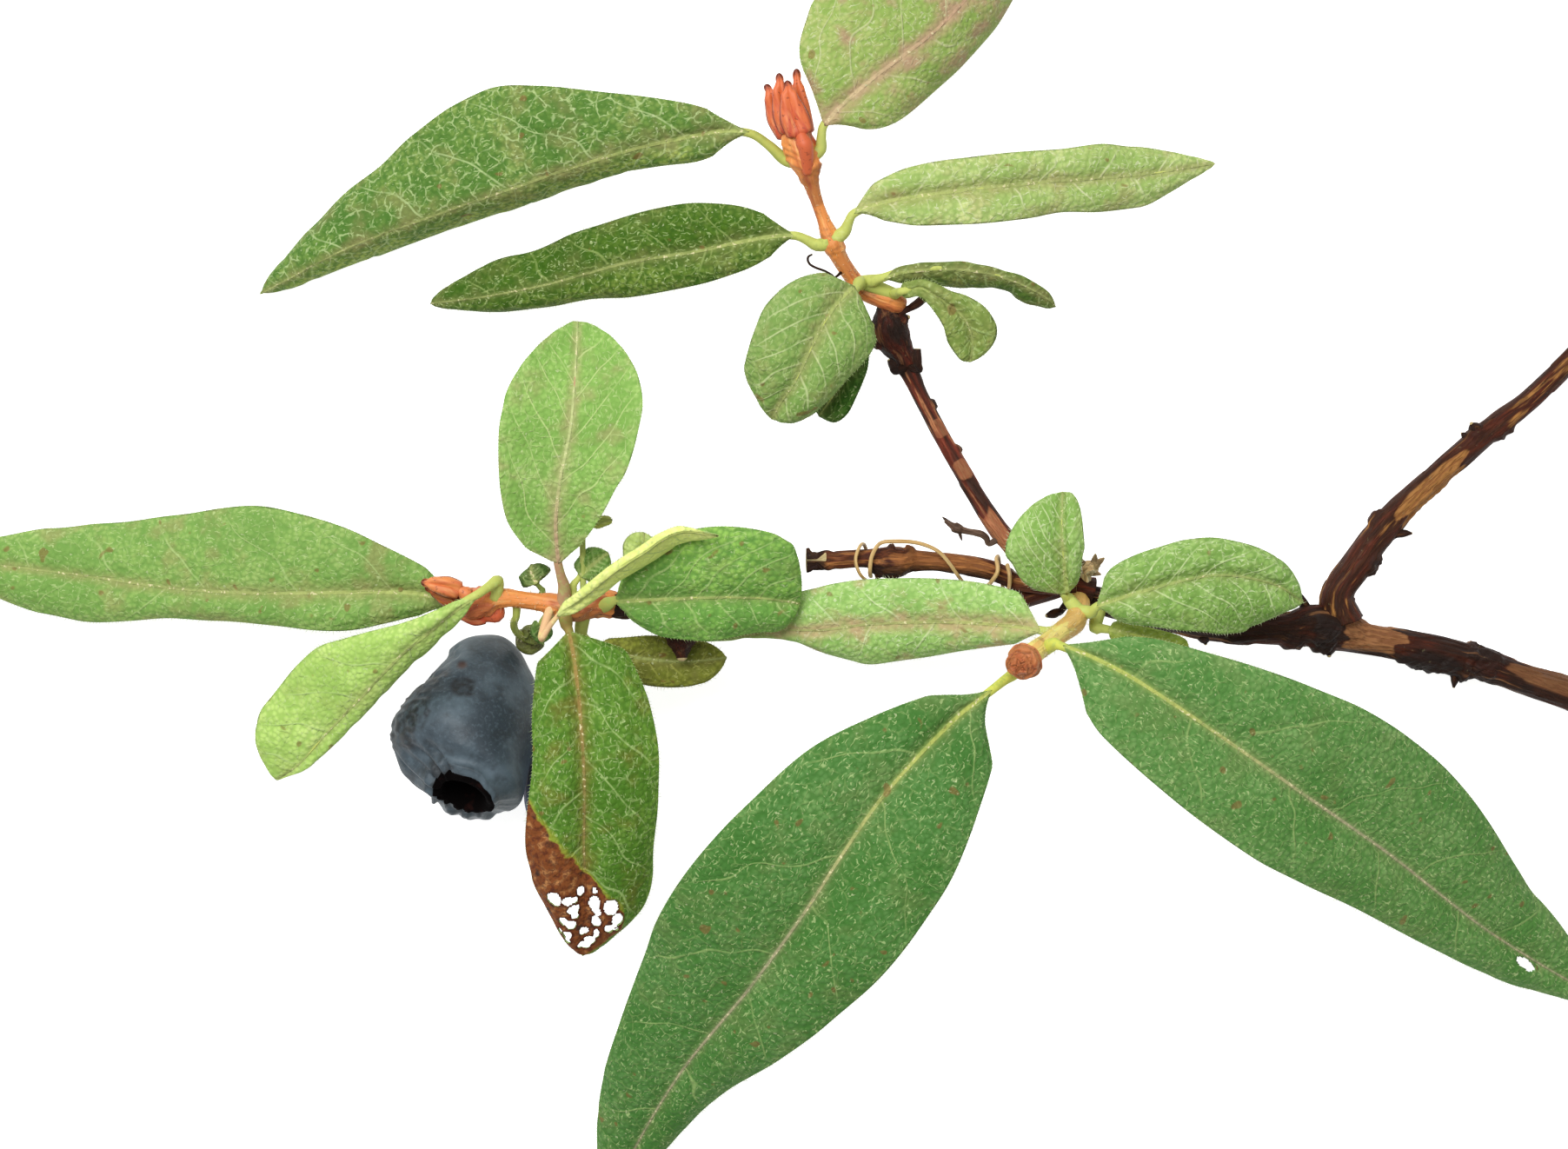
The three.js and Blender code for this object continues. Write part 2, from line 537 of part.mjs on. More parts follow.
const leftLeaves = () => [
  leaf('leaf_far_left', [
    [-29.8, -3.3, 11.0, 0.4, 0.4],
    [-31.6, -2.9, 10.8, 0.9, 1.1],
    [-36.0, -1.9, 10.9, 2.3, 2.9, 0, 0.3],
    [-42.8, -1.8, 10.8, 3.7, 6.3, 0, 0.6],
    [-51.4, -1.9, 9.6, 3.1, 8.6, -0.4, 0.6],
    [-60.2, -1.4, 7.3, 3.0, 7.3, -0.6, 0],
    [-69.0, -0.2, 4.9, 4.6, 5.2, -0.6, -0.6],
    [-78.0, 0.9, 2.2, 3.2, 2.9, -0.5, -0.6],
    [-86.4, 1.9, 0.15, 0, 0],
  ], COLOUR.leafPale, { arch: 0.5 }),
  leaf('leaf_folded', [
    [-27.9, -0.7, 14.4, 0.4, 0.4],
    [-29.8, -2.0, 16.2, 0.5, 0.5],
    [-33.9, -5.2, 15.4, 0.6, 1.6, -2.2, 0.4],
    [-37.4, -8.0, 13.6, 1.0, 3.6, -2.6, 0.2],
    [-41.0, -11.7, 11.4, 1.2, 6.5, -2.0, 0],
    [-45.1, -15.8, 8.8, 1.4, 6.5, -1.0, -0.6],
    [-47.8, -18.7, 6.9, 1.0, 5.7, -0.5, -0.4],
    [-50.2, -20.4, 5.6, 0, 0],
  ], COLOUR.leafPale, { round: 2.2, arch: 0.5 }),
  leaf('leaf_upright', [
    [-21.4, -1.4, 14.3, 0.5, 0.5],
    [-21.9, 1.2, 15.8, 1.7, 1.4],
    [-22.1, 5.0, 17.6, 4.6, 3.8, 0.6, 0.6],
    [-21.6, 9.3, 19.0, 6.0, 5.4, 1.0, 1.0],
    [-20.7, 13.5, 19.6, 6.8, 6.4, 1.0, 1.0],
    [-20.2, 19.0, 18.9, 5.6, 6.3, 0.8, 0.8],
    [-20.0, 24.5, 17.2, 0, 0],
  ], COLOUR.leafPale, { round: 1.8, arch: -0.4 }),
  leaf('leaf_behind_right', [
    [-20.6, -1.2, 13.4, 0.4, 0.4],
    [-19.9, -0.2, 13.4, 0.8, 0.8],
    [-18.8, 0.8, 13.6, 1.2, 1.2],
    [-17.9, 1.5, 13.7, 1.1, 1.1],
    [-17.1, 2.1, 13.8, 0, 0],
  ], COLOUR.leaf, { round: 2 }),
  leaf('leaf_behind_left', [
    [-23.6, -1.6, 12.2, 0.4, 0.4],
    [-24.2, -0.9, 12.3, 0.9, 0.9],
    [-24.6, 0.0, 12.5, 1.2, 1.4],
    [-24.7, 1.0, 12.6, 0, 0],
  ], COLOUR.leafDark, { round: 2 }),
  leaf('leaf_under_shoot', [
    [-23.0, -4.1, 11.6, 0.3, 0.3],
    [-23.6, -4.7, 10.8, 0.8, 0.8],
    [-23.9, -5.8, 9.6, 1.3, 1.0],
    [-23.8, -7.0, 8.8, 0, 0],
  ], COLOUR.leaf, { round: 2 }),
  leaf('leaf_edge_on', [
    [-23.6, -6.2, 15.2, 0.45, 0.45],
    [-21.9, -4.0, 16.4, 0.5, 0.5],
    [-20.1, -2.8, 17.4, 0.55, 0.5, 0.3, -0.6],
    [-18.2, -1.4, 18.6, 0.6, 0.45, 0.4, -1.6],
    [-16.3, 0.1, 19.6, 0.6, 0.5, 0.4, -2.6],
    [-13.2, 2.1, 20.2, 0.6, 0.6, 0.4, -3.2],
    [-10.2, 3.9, 20.2, 0.5, 0.6, 0.3, -2.6],
    [-6.3, 3.6, 19.4, 0, 0],
  ], COLOUR.leafPale, { round: 1.1, arch: 0.1 }),
  leaf('leaf_oval', [
    [-17.0, -2.8, 13.9, 0.5, 0.5],
    [-16.3, -2.7, 14.2, 1.6, 0.9, 0.2, 0.1],
    [-14.9, -2.6, 14.6, 3.9, 2.0, 0.8, -0.3],
    [-12.0, -2.5, 14.9, 5.8, 3.6, 1.6, -0.7],
    [-6.9, -2.3, 15.2, 6.9, 4.1, 2.4, -1.0],
    [-1.9, -2.4, 14.8, 6.4, 3.4, 2.2, -0.8],
    [0.3, -2.7, 14.2, 4.6, 2.7, 1.2, -0.4],
    [1.6, -2.9, 13.7, 0, 0],
  ], COLOUR.leaf, { round: 2.1, arch: 0.5 }),
  leaf('leaf_front', [
    [-21.2, -4.9, 14.1, 0.5, 0.5],
    [-20.9, -5.8, 14.7, 2.4, 2.2],
    [-20.4, -8.3, 15.3, 5.1, 3.7, -0.3, -0.2],
    [-19.8, -13.4, 16.0, 6.8, 4.7, -0.8, -0.3],
    [-19.4, -20.2, 15.8, 7.2, 5.2, -1.0, -0.3],
    [-19.5, -27.0, 13.8, 6.9, 5.6, -1.0, -0.3],
    [-19.4, -32.2, 11.2, 6.0, 4.3, -0.8, -0.2],
    [-19.8, -37.6, 8.2, 0, 0],
  ], COLOUR.leaf, { round: 1.9, arch: 0.9 }),
  leaf('leaf_under_front', [
    [-19.9, -5.8, 10.6, 0.4, 0.4],
    [-18.6, -7.2, 10.0, 1.0, 1.0],
    [-13.8, -8.3, 9.2, 2.3, 2.5],
    [-9.5, -8.6, 8.8, 2.3, 2.4],
    [-7.2, -8.4, 8.8, 1.6, 1.7],
    [-5.6, -8.2, 8.8, 0, 0],
  ], COLOUR.leafYellow, { round: 2 }),
  leaf('leaf_tip_behind_oval', [
    [-15.6, -1.4, 12.7, 0.35, 0.35],
    [-14.9, -0.2, 12.6, 0.9, 0.9],
    [-14.0, 1.7, 12.8, 1.8, 1.8],
    [-13.7, 3.0, 12.9, 1.8, 1.8],
    [-13.7, 4.1, 13.0, 0, 0],
  ], COLOUR.leafPale, { round: 2 }),
  leaf('leaf_scrap', [
    [-19.6, 4.2, 14.4, 0.3, 0.3],
    [-18.8, 4.8, 14.4, 0.5, 0.5],
    [-17.7, 5.2, 14.5, 0.6, 0.6],
    [-16.7, 5.3, 14.6, 0, 0],
  ], COLOUR.leafYellow, { round: 2, stalk: 0.3 }),
];

const centreLeaves = () => [
  leaf('leaf_narrow', [
    [26.2, -5.6, 16.3, 0.45, 0.45],
    [25.0, -5.5, 16.2, 1.1, 1.2],
    [22.6, -5.1, 15.6, 1.7, 3.3, -0.5, 0.3],
    [16.8, -4.7, 14.2, 2.9, 4.1, -1.4, 0.4],
    [8.3, -4.9, 12.9, 4.0, 4.4, -1.8, 0.4],
    [3.4, -5.5, 12.1, 2.1, 4.2, -1.6, 0.2],
    [-0.4, -5.4, 11.6, 0.5, 3.2, -0.8, 0],
    [-6.0, -5.8, 11.2, 0.3, 0.5, -0.3, 0],
    [-11.0, -6.5, 10.6, 0, 0],
  ], COLOUR.leafPale, { round: 1.2, arch: 0.4 }),
  leaf('leaf_small_up', [
    [27.7, -2.4, 14.0, 0.5, 0.5],
    [27.5, -1.7, 14.7, 1.9, 0.7],
    [27.3, -0.3, 15.9, 3.9, 1.4, 0.3, 0.3],
    [27.1, 1.6, 17.0, 5.0, 1.8, 0.4, 0.4],
    [26.9, 3.8, 17.6, 5.4, 2.1, 0.5, 0.5],
    [27.0, 8.0, 16.8, 0, 0],
  ], COLOUR.leafPale, { round: 1.7, arch: 0.5 }),
  leaf('leaf_right', [
    [29.9, -3.7, 15.0, 0.5, 0.5],
    [30.5, -3.1, 15.6, 1.0, 1.0],
    [32.8, -2.3, 16.0, 3.1, 2.7, 0, -0.2],
    [37.7, -0.9, 16.2, 3.8, 4.6, 0.2, -0.8],
    [42.1, -0.1, 16.0, 3.8, 5.6, 0.2, -1.4],
    [46.3, -0.6, 15.2, 2.7, 5.2, 0, -1.4],
    [48.6, -1.4, 14.4, 1.8, 3.4, -0.2, -0.8],
    [50.7, -2.8, 13.4, 0, 0],
  ], COLOUR.leafPale, { round: 2, arch: 0.6 }),
  leaf('leaf_lower_right', [
    [25.9, -6.7, 23.6, 0.6, 0.6],
    [26.9, -6.9, 24.6, 1.0, 1.5],
    [29.6, -8.0, 25.8, 2.4, 4.0, 0, 0.2],
    [33.4, -10.0, 26.5, 4.4, 6.2, 0, 0.3],
    [41.3, -15.2, 25.4, 7.5, 7.6, 0.4, 0.8],
    [50.0, -21.2, 22.0, 10.0, 7.7, 0.4, 0.6],
    [58.9, -27.3, 16.4, 9.9, 6.2, 0, 0.2],
    [68.1, -34.3, 9.6, 6.9, 4.3, -0.4, -0.2],
    [75.7, -39.1, 4.1, 3.8, 2.7, -0.6, -0.4],
    [82.8, -43.0, 0.15, 0, 0],
  ], COLOUR.leaf, { arch: 0.6 }),
  leaf('leaf_lower_left', [
    [22.2, -9.4, 23.2, 0.6, 0.6],
    [19.7, -11.2, 25.6, 0.8, 0.8],
    [16.3, -13.8, 27.4, 5.4, 3.2],
    [8.9, -21.8, 28.2, 9.7, 8.3, 0.4, 0.4],
    [2.3, -31.8, 26.0, 9.7, 11.2, 0.6, 0.4],
    [-3.5, -40.1, 20.8, 7.5, 11.0, 0.4, 0],
    [-9.5, -47.8, 13.6, 4.8, 7.9, 0, -0.4],
    [-14.3, -55.9, 6.0, 2.6, 4.9, -0.4, -0.6],
    [-17.5, -63.0, 0.15, 0, 0],
  ], COLOUR.leaf, { arch: 0.6 }),
  leaf('leaf_partly_hidden', [
    [30.4, -5.2, 12.6, 0.35, 0.35],
    [31.6, -5.4, 12.6, 0.9, 0.9],
    [34.0, -5.9, 12.6, 1.2, 1.2],
    [37.0, -6.6, 12.5, 1.2, 1.1],
    [39.6, -7.2, 12.4, 0, 0],
  ], COLOUR.leafYellow, { round: 1.6 }),
];

const sprig = new THREE.Group();
sprig.add(
  ...oldWood(),
  ...smallWood(),
  ...greenShoots(),
  ...buds(),
  ...berries(),
  ...upperLeaves(),
  ...leftLeaves(),
  ...centreLeaves(),
);

// The origin is moved to the middle of the footprint, on the table top.
const box = new THREE.Box3().setFromObject(sprig);
const middle = box.getCenter(new THREE.Vector3());
sprig.position.set(-middle.x, -middle.y, -box.min.z);

export default sprig;
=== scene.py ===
"""A cut sprig of blue honeysuckle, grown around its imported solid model.

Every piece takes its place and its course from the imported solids: stems and berries follow the
rings of their nodes, and leaves follow the thin sections of theirs. Lengths are in metres.
"""

import json
import logging
import math
from collections import deque
from dataclasses import dataclass, replace
from enum import Enum
from typing import Callable

import bmesh
import bpy
import numpy as np
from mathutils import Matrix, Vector

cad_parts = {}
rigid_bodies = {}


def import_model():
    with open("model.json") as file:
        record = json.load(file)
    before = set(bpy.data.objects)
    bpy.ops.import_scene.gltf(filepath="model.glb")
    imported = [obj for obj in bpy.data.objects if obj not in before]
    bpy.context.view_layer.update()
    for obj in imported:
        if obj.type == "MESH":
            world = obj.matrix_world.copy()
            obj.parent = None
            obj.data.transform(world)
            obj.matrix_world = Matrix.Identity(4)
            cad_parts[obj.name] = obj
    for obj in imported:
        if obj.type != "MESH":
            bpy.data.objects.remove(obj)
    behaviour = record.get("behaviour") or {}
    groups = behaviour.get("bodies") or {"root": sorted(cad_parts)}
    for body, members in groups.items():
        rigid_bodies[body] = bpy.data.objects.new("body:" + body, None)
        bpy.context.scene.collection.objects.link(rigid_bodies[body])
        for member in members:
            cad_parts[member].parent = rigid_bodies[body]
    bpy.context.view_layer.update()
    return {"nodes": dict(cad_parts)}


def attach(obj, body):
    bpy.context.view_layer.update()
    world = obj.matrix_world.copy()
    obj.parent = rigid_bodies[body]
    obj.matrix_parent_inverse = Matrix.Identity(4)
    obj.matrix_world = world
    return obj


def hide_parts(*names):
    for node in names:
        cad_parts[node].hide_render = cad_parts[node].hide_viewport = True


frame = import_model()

MM = 0.001
WELD = 1e-6  # vertices of one node nearer than this are one
EDGE, GRAIN, BLADE = "edge", "grain", "blade"  # vertex attributes that materials read
log = logging.getLogger("sprig")


class Slot(Enum):
    """The record's material slots."""

    BARK = "bark"
    DEAD_WOOD = "dead_wood"
    SHOOT = "young_shoot"
    LEAF = "leaf"
    BUD = "bud"
    BERRY = "berry"
    STALK = "berry_stalk"
    TENDRIL = "tendril"


# ---- numbers, noise and courses ----------------------------------------------------------------


def smoothstep(values: np.ndarray, low: float, high: float) -> np.ndarray:
    """Ease values from 0 at low to 1 at high."""
    t = np.clip((np.asarray(values, float) - low) / (high - low), 0.0, 1.0)
    return t * t * (3.0 - 2.0 * t)


def ripple(points: np.ndarray, size: float, seed: int) -> np.ndarray:
    """Smooth lattice noise, the same on every run.

    Args:
        points: Places, in any unit; the last axis holds their three coordinates.
        size: Width of one swell, in the same unit.
        seed: Picks one of many independent patterns.

    Returns:
        One number between -1 and 1 per place.
    """
    lattice = np.asarray(points, float) / size + seed * 17.313
    cell = np.floor(lattice).astype(np.int64)
    part = lattice - cell
    part = part * part * (3.0 - 2.0 * part)
    total = np.zeros(lattice.shape[:-1])
    for corner in range(8):
        step = np.array([corner & 1, corner >> 1 & 1, corner >> 2 & 1])
        # Large odd numbers mix a cell's corner into a value that looks drawn at random.
        mixed = (cell + step) @ np.array([374761393, 668265263, 1442695041])
        mixed = ((mixed ^ (mixed >> 13)) * 1274126177) & 0x7FFFFFFF
        value = ((mixed ^ (mixed >> 15)) & 0xFFFF) / 32767.5 - 1.0
        total += np.prod(np.where(step, part, 1.0 - part), axis=-1) * value
    return total


def triple(*numbers: np.ndarray | float) -> np.ndarray:
    """Put three numbers per place side by side; single numbers count for every place."""
    return np.stack(np.broadcast_arrays(*numbers), -1)


def bump_at(places: np.ndarray, middle: float, width: float) -> np.ndarray:
    """A smooth swelling of height 1 around middle, gone at about one width from it."""
    return np.exp(-(((places - middle) / width) ** 2) * 2.0)


def through(values: np.ndarray, at: np.ndarray) -> np.ndarray:
    """Follow a Catmull-Rom curve through evenly numbered values.

    Args:
        values: The values, one per row; each row may have any shape.
        at: Where to read the curve, between 0 and the last row's number.

    Returns:
        One row for each place.
    """
    last = len(values) - 1
    first = np.clip(np.floor(at).astype(int), 0, last - 1)
    part = (at - first).reshape(-1, *[1] * (values.ndim - 1))
    a, b = values[np.maximum(first - 1, 0)], values[first]
    c, d = values[first + 1], values[np.minimum(first + 2, last)]
    square, cube = part**2, part**3
    return (
        (2 * cube - 3 * square + 1) * b
        + (cube - 2 * square + part) * ((c - a) / 2.0)
        + (3 * square - 2 * cube) * c
        + (cube - square) * ((d - b) / 2.0)
    )


def lengths_along(points: np.ndarray) -> np.ndarray:
    """Distance travelled from the first point to each point of a line."""
    steps = np.linalg.norm(np.diff(points, axis=0), axis=1)
    return np.concatenate([[0.0], np.cumsum(steps)])


def unit(vectors: np.ndarray | tuple) -> np.ndarray:
    """The same vectors at length 1, one per row."""
    vectors = np.asarray(vectors)
    return vectors / np.maximum(np.linalg.norm(vectors, axis=-1, keepdims=True), 1e-12)


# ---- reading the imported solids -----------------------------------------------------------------


class RingSkin:
    """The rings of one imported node, in order from the end it grows from.

    Attributes:
        rings: Array of shape (rings, points in a ring, 3), each ring in walking order.
        base: The pole at the end it grows from.
        tip: The pole at the other end.
    """

    def __init__(self, node: str, parent: str | None) -> None:
        """Read a node.

        Args:
            node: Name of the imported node.
            parent: Name of the node it grows from, or None where its base has the larger X.
        """
        mesh = bmesh.new()
        mesh.from_mesh(frame["nodes"][node].data)
        bmesh.ops.remove_doubles(mesh, verts=mesh.verts, dist=WELD)
        mesh.verts.ensure_lookup_table()
        for pole in sorted(mesh.verts, key=lambda v: -len(v.link_edges)):
            levels = self._levels(pole)
            sizes = np.bincount(list(levels.values()))
            if sizes[-1] == 1 and np.all(sizes[1:-1] == len(pole.link_edges)):
                break
        last = max(levels.values())
        ordered = [self._walk(levels, k) for k in range(1, last)]
        ends = [next(v for v, k in levels.items() if k == end).co for end in (0, last)]
        self.rings = np.array([[v.co[:] for v in ring] for ring in ordered])
        self.base, self.tip = (np.array(end[:]) for end in ends)
        if self._distance(self.tip, parent) < self._distance(self.base, parent):
            self.rings = self.rings[::-1]
            self.base, self.tip = self.tip, self.base
        mesh.free()

    @staticmethod
    def _distance(place: np.ndarray, parent: str | None) -> float:
        """How far a place is from the parent node."""
        if parent is None:
            return -place[0]
        verts = np.array([v.co[:] for v in frame["nodes"][parent].data.vertices])
        return float(np.linalg.norm(verts - place, axis=1).min())

    @staticmethod
    def _levels(pole: bmesh.types.BMVert) -> dict[bmesh.types.BMVert, int]:
        """Number of edges from a pole to each vertex."""
        levels = {pole: 0}
        waiting = deque([pole])
        while waiting:
            vert = waiting.popleft()
            for other in (edge.other_vert(vert) for edge in vert.link_edges):
                if other not in levels:
                    levels[other] = levels[vert] + 1
                    waiting.append(other)
        return levels

    @staticmethod
    def _walk(levels: dict[bmesh.types.BMVert, int], level: int) -> list[bmesh.types.BMVert]:
        """The vertices of one ring in the order met when walking round it."""
        left = {v for v, k in levels.items() if k == level}
        ring = [min(left, key=lambda v: v.index)]
        left.discard(ring[0])
        while left:
            nearby = [edge.other_vert(ring[-1]) for edge in ring[-1].link_edges]
            ring.append(min((v for v in nearby if v in left), key=lambda v: v.index))
            left.discard(ring[-1])
        return ring

    def centres(self) -> np.ndarray:
        """Middle of each ring."""
        return self.rings.mean(axis=1)

    def radii(self) -> np.ndarray:
        """Mean distance of each ring's points from its middle."""
        spread = self.rings - self.centres()[:, None]
        return np.linalg.norm(spread, axis=2).mean(axis=1)


def anchor(parent: str, place: np.ndarray, depth: float) -> np.ndarray:
    """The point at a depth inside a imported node, under its skin nearest to a place."""
    vertices = frame["nodes"][parent].data.vertices
    nearest = min(vertices, key=lambda v: (v.co - Vector(place)).length)
    return np.array((nearest.co - nearest.normal * depth)[:])


# ---- building meshes ---------------------------------------------------------------------------


def frames_along(points: np.ndarray) -> tuple[np.ndarray, np.ndarray, np.ndarray]:
    """Directions ahead, across and over at each point of a line, without twist."""
    ahead = unit(np.gradient(points, axis=0))
    across = np.zeros_like(ahead)
    start = np.cross(ahead[0], [0.0, 0.0, 1.0])
    across[0] = start if np.linalg.norm(start) > 1e-3 else [1.0, 0.0, 0.0]
    for i in range(1, len(points)):
        across[i] = across[i - 1] - ahead[i] * np.dot(across[i - 1], ahead[i])
    across = unit(across)
    return ahead, across, np.cross(across, ahead)


def grid(
    mesh: bmesh.types.BMesh, columns: int, rows: int
) -> tuple[list, np.ndarray, np.ndarray]:
    """Add a flat grid to be laid onto a surface.

    Args:
        mesh: Where it goes.
        columns: Faces across.
        rows: Faces along.

    Returns:
        Its vertices, and the column and the row of each.
    """
    made = bmesh.ops.create_grid(mesh, x_segments=columns, y_segments=rows, size=0.5)["verts"]
    flat = (np.array([v.co[:2] for v in made]) + 0.5) * [columns, rows]
    column, row = np.rint(flat).astype(int).T
    return made, column, row


def lay(verts: list, places: np.ndarray) -> None:
    """Move vertices to places, one row each."""
    for vert, place in zip(verts, places):
        vert.co = place


def new_mesh(*attributes: str) -> bmesh.types.BMesh:
    """An empty mesh with three-number attributes on its vertices."""
    mesh = bmesh.new()
    for name in attributes:
        mesh.verts.layers.float_vector.new(name)
    return mesh


def mark(mesh: bmesh.types.BMesh, verts: list, **attributes: np.ndarray) -> None:
    """Write three-number attributes on vertices, one row each, for a material to read."""
    for name, values in attributes.items():
        layer = mesh.verts.layers.float_vector[name]
        for vert, value in zip(verts, values):
            vert[layer] = value


def finish_piece(
    mesh: bmesh.types.BMesh, node: str, materials: list[bpy.types.Material]
) -> bpy.types.Object:
    """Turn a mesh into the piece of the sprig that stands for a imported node.

    Args:
        mesh: The mesh, which is freed.
        node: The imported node.
        materials: Its materials, in slot order.

    Returns:
        The finished object.
    """
    for face in mesh.faces:
        face.smooth = True
    name = f"{node}_grown"
    data = bpy.data.meshes.new(name)
    mesh.to_mesh(data)
    mesh.free()
    for material in materials:
        data.materials.append(material)
    piece = bpy.data.objects.new(name, data)
    bpy.context.scene.collection.objects.link(piece)
    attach(piece, "root")
    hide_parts(node)
    log.info("%s: %d faces", name, len(data.polygons))
    return piece


# ---- finishes ----------------------------------------------------------------------------------


def linear(code: str) -> tuple[float, float, float, float]:
    """Turn an sRGB hex colour such as "#4a7a2c" into linear red, green, blue and an opaque 1."""
    parts = [int(code[i : i + 2], 16) / 255.0 for i in (1, 3, 5)]
    curve = [c / 12.92 if c <= 0.04045 else ((c + 0.055) / 1.055) ** 2.4 for c in parts]
    return (*curve, 1.0)


def add(tree: bpy.types.NodeTree, kind: str, inputs: dict, **settings: object) -> bpy.types.Node:
    """Add one shader node.

    Args:
        tree: The node tree it joins.
        kind: Its type name, without the leading "ShaderNode".
        inputs: Socket name or number to a value, or to another node's output.
        settings: Its other properties.

    Returns:
        The node.
    """
    node = tree.nodes.new("ShaderNode" + kind)
    for key, value in settings.items():
        setattr(node, key, value)
    for key, value in inputs.items():
        if isinstance(value, bpy.types.NodeSocket):
            tree.links.new(value, node.inputs[key])
        else:
            node.inputs[key].default_value = value
    return node


class Paint:
    """A material being built up in coats over one principled surface."""

    def __init__(self, name: str, ground: str, roughness: float, specular: float = 0.35) -> None:
        """Start from a ground colour.

        Args:
            name: The material's name.
            ground: Its first colour.
            roughness: Surface roughness.
            specular: Strength of the surface's mirror part.
        """
        self.material = bpy.data.materials.new(name)
        self.material.use_nodes = True
        self.tree = self.material.node_tree
        self.shader = self.tree.nodes["Principled BSDF"]
        self.shader.inputs["Roughness"].default_value = roughness
        self.shader.inputs["Specular IOR Level"].default_value = specular
        self.colour: bpy.types.NodeSocket | tuple = linear(ground)
        self.normal: dict[str, bpy.types.NodeSocket] = {}
        self.place = self.put("TexCoord", {}, "Object")

    def put(self, kind: str, inputs: dict, out: int | str = 0, **settings: object) -> object:
        """Add one node of any kind and take one of its outputs."""
        return add(self.tree, kind, inputs, **settings).outputs[out]

    def attribute(self, name: str) -> list[bpy.types.NodeSocket]:
        """A vertex attribute: the whole of it, then its three numbers."""
        whole = self.put("Attribute", {}, "Vector", attribute_name=name)
        return [whole, *add(self.tree, "SeparateXYZ", {0: whole}).outputs]

    def patches(
        self, size: float, detail: float = 2.0, at: object = None, stretch: tuple = (1, 1, 1)
    ) -> bpy.types.NodeSocket:
        """Soft irregular patches.

        Args:
            size: Width of one patch, in the unit of the place it reads.
            detail: How many finer layers it holds.
            at: The place it reads; object coordinates if left out.
            stretch: How much each direction is drawn out.

        Returns:
            Numbers around 0.5.
        """
        place = self.place if at is None else at
        if stretch != (1, 1, 1):
            drawn = {"Vector": place, "Scale": tuple(1.0 / s for s in stretch)}
            place = self.put("Mapping", drawn)
        return self.put("TexNoise", {"Vector": place, "Scale": 1.0 / size, "Detail": detail})

    def cells(self, at: object, size: float, out: str, **settings: object) -> bpy.types.NodeSocket:
        """Flat cells of about this size, in the unit of the place they read."""
        inputs = {"Vector": at, "Scale": 1.0 / size}
        return self.put("TexVoronoi", inputs, out, voronoi_dimensions="2D", **settings)

    def math(self, operation: str, *numbers: object) -> bpy.types.NodeSocket:
        """Work out one number from up to three."""
        return self.put("Math", dict(enumerate(numbers)), operation=operation)

    def mask(
        self, value: object, low: float, high: float, *others: object, least: float = 0.0
    ) -> bpy.types.NodeSocket:
        """Where a value has passed from low to high, and where all the other masks lie.

        Args:
            value: What decides.
            low: Where the mask is at its least.
            high: Where it is 1; it may be under low.
            others: Masks it is cut down by.
            least: Its value on the low side.

        Returns:
            Numbers between 0 and 1.
        """
        steps = {0: value, 1: low, 2: high, 3: least, 4: 1.0}
        result = self.put("MapRange", steps, interpolation_type="SMOOTHSTEP")
        for other in others:
            result = self.math("MULTIPLY", result, other)
        return result

    def coat(self, colour: object, mask: object, strength: float = 1.0) -> None:
        """Lay a hex colour or a socket's over what is there, where the mask is 1."""
        shown = linear(colour) if isinstance(colour, str) else colour
        amount = self.math("MULTIPLY", mask, strength)
        self.colour = self.put("Mix", {0: amount, 6: self.colour, 7: shown}, 2, data_type="RGBA")

    def blotch(
        self,
        colour: object,
        size: float,
        low: float,
        high: float,
        strength: float,
        *others: object,
        detail: float = 2.0,
        at: object = None,
        stretch: tuple = (1, 1, 1),
    ) -> None:
        """Lay a colour over in soft irregular patches.

        Args:
            colour: A hex colour or a socket.
            size: Width of one patch, in the unit of the place it reads.
            low: Patch height at which it starts to show.
            high: Patch height at which it covers.
            strength: How opaque it is.
            others: Masks it is cut down by.
            detail: How many finer layers the patches hold.
            at: The place they read; object coordinates if left out.
            stretch: How much each direction is drawn out.
        """
        patches = self.patches(size, detail, at, stretch)
        self.coat(colour, self.mask(patches, low, high, *others), strength)

    def raise_by(self, height: object, metres: float) -> None:
        """Add fine relief of the given depth where height is 1."""
        inputs = {"Height": height, "Distance": metres, **self.normal}
        self.normal = {"Normal": self.put("Bump", inputs)}

    def done(self) -> bpy.types.Material:
        """Join the coats and the relief to the shader, and give the material."""
        ends = {"Base Color": self.colour, **self.normal}
        for name, value in ends.items():
            if isinstance(value, tuple):
                self.shader.inputs[name].default_value = value
            else:
                self.tree.links.new(value, self.shader.inputs[name])
        return self.material


@dataclass(frozen=True)
class Blight:
    """The dry brown end of a leaf, dying back from the tip on one side.

    Attributes:
        start: Where it starts on the midrib, from stalk to tip, 0 to 1.
        slant: How much sooner it starts for each millimetre to the right.
        reach: How far left of the midrib it goes, in millimetres.
        hem: How much of the tip's left side stays green, for each millimetre to the left.
    """

    start: float
    slant: float
    reach: float
    hem: float


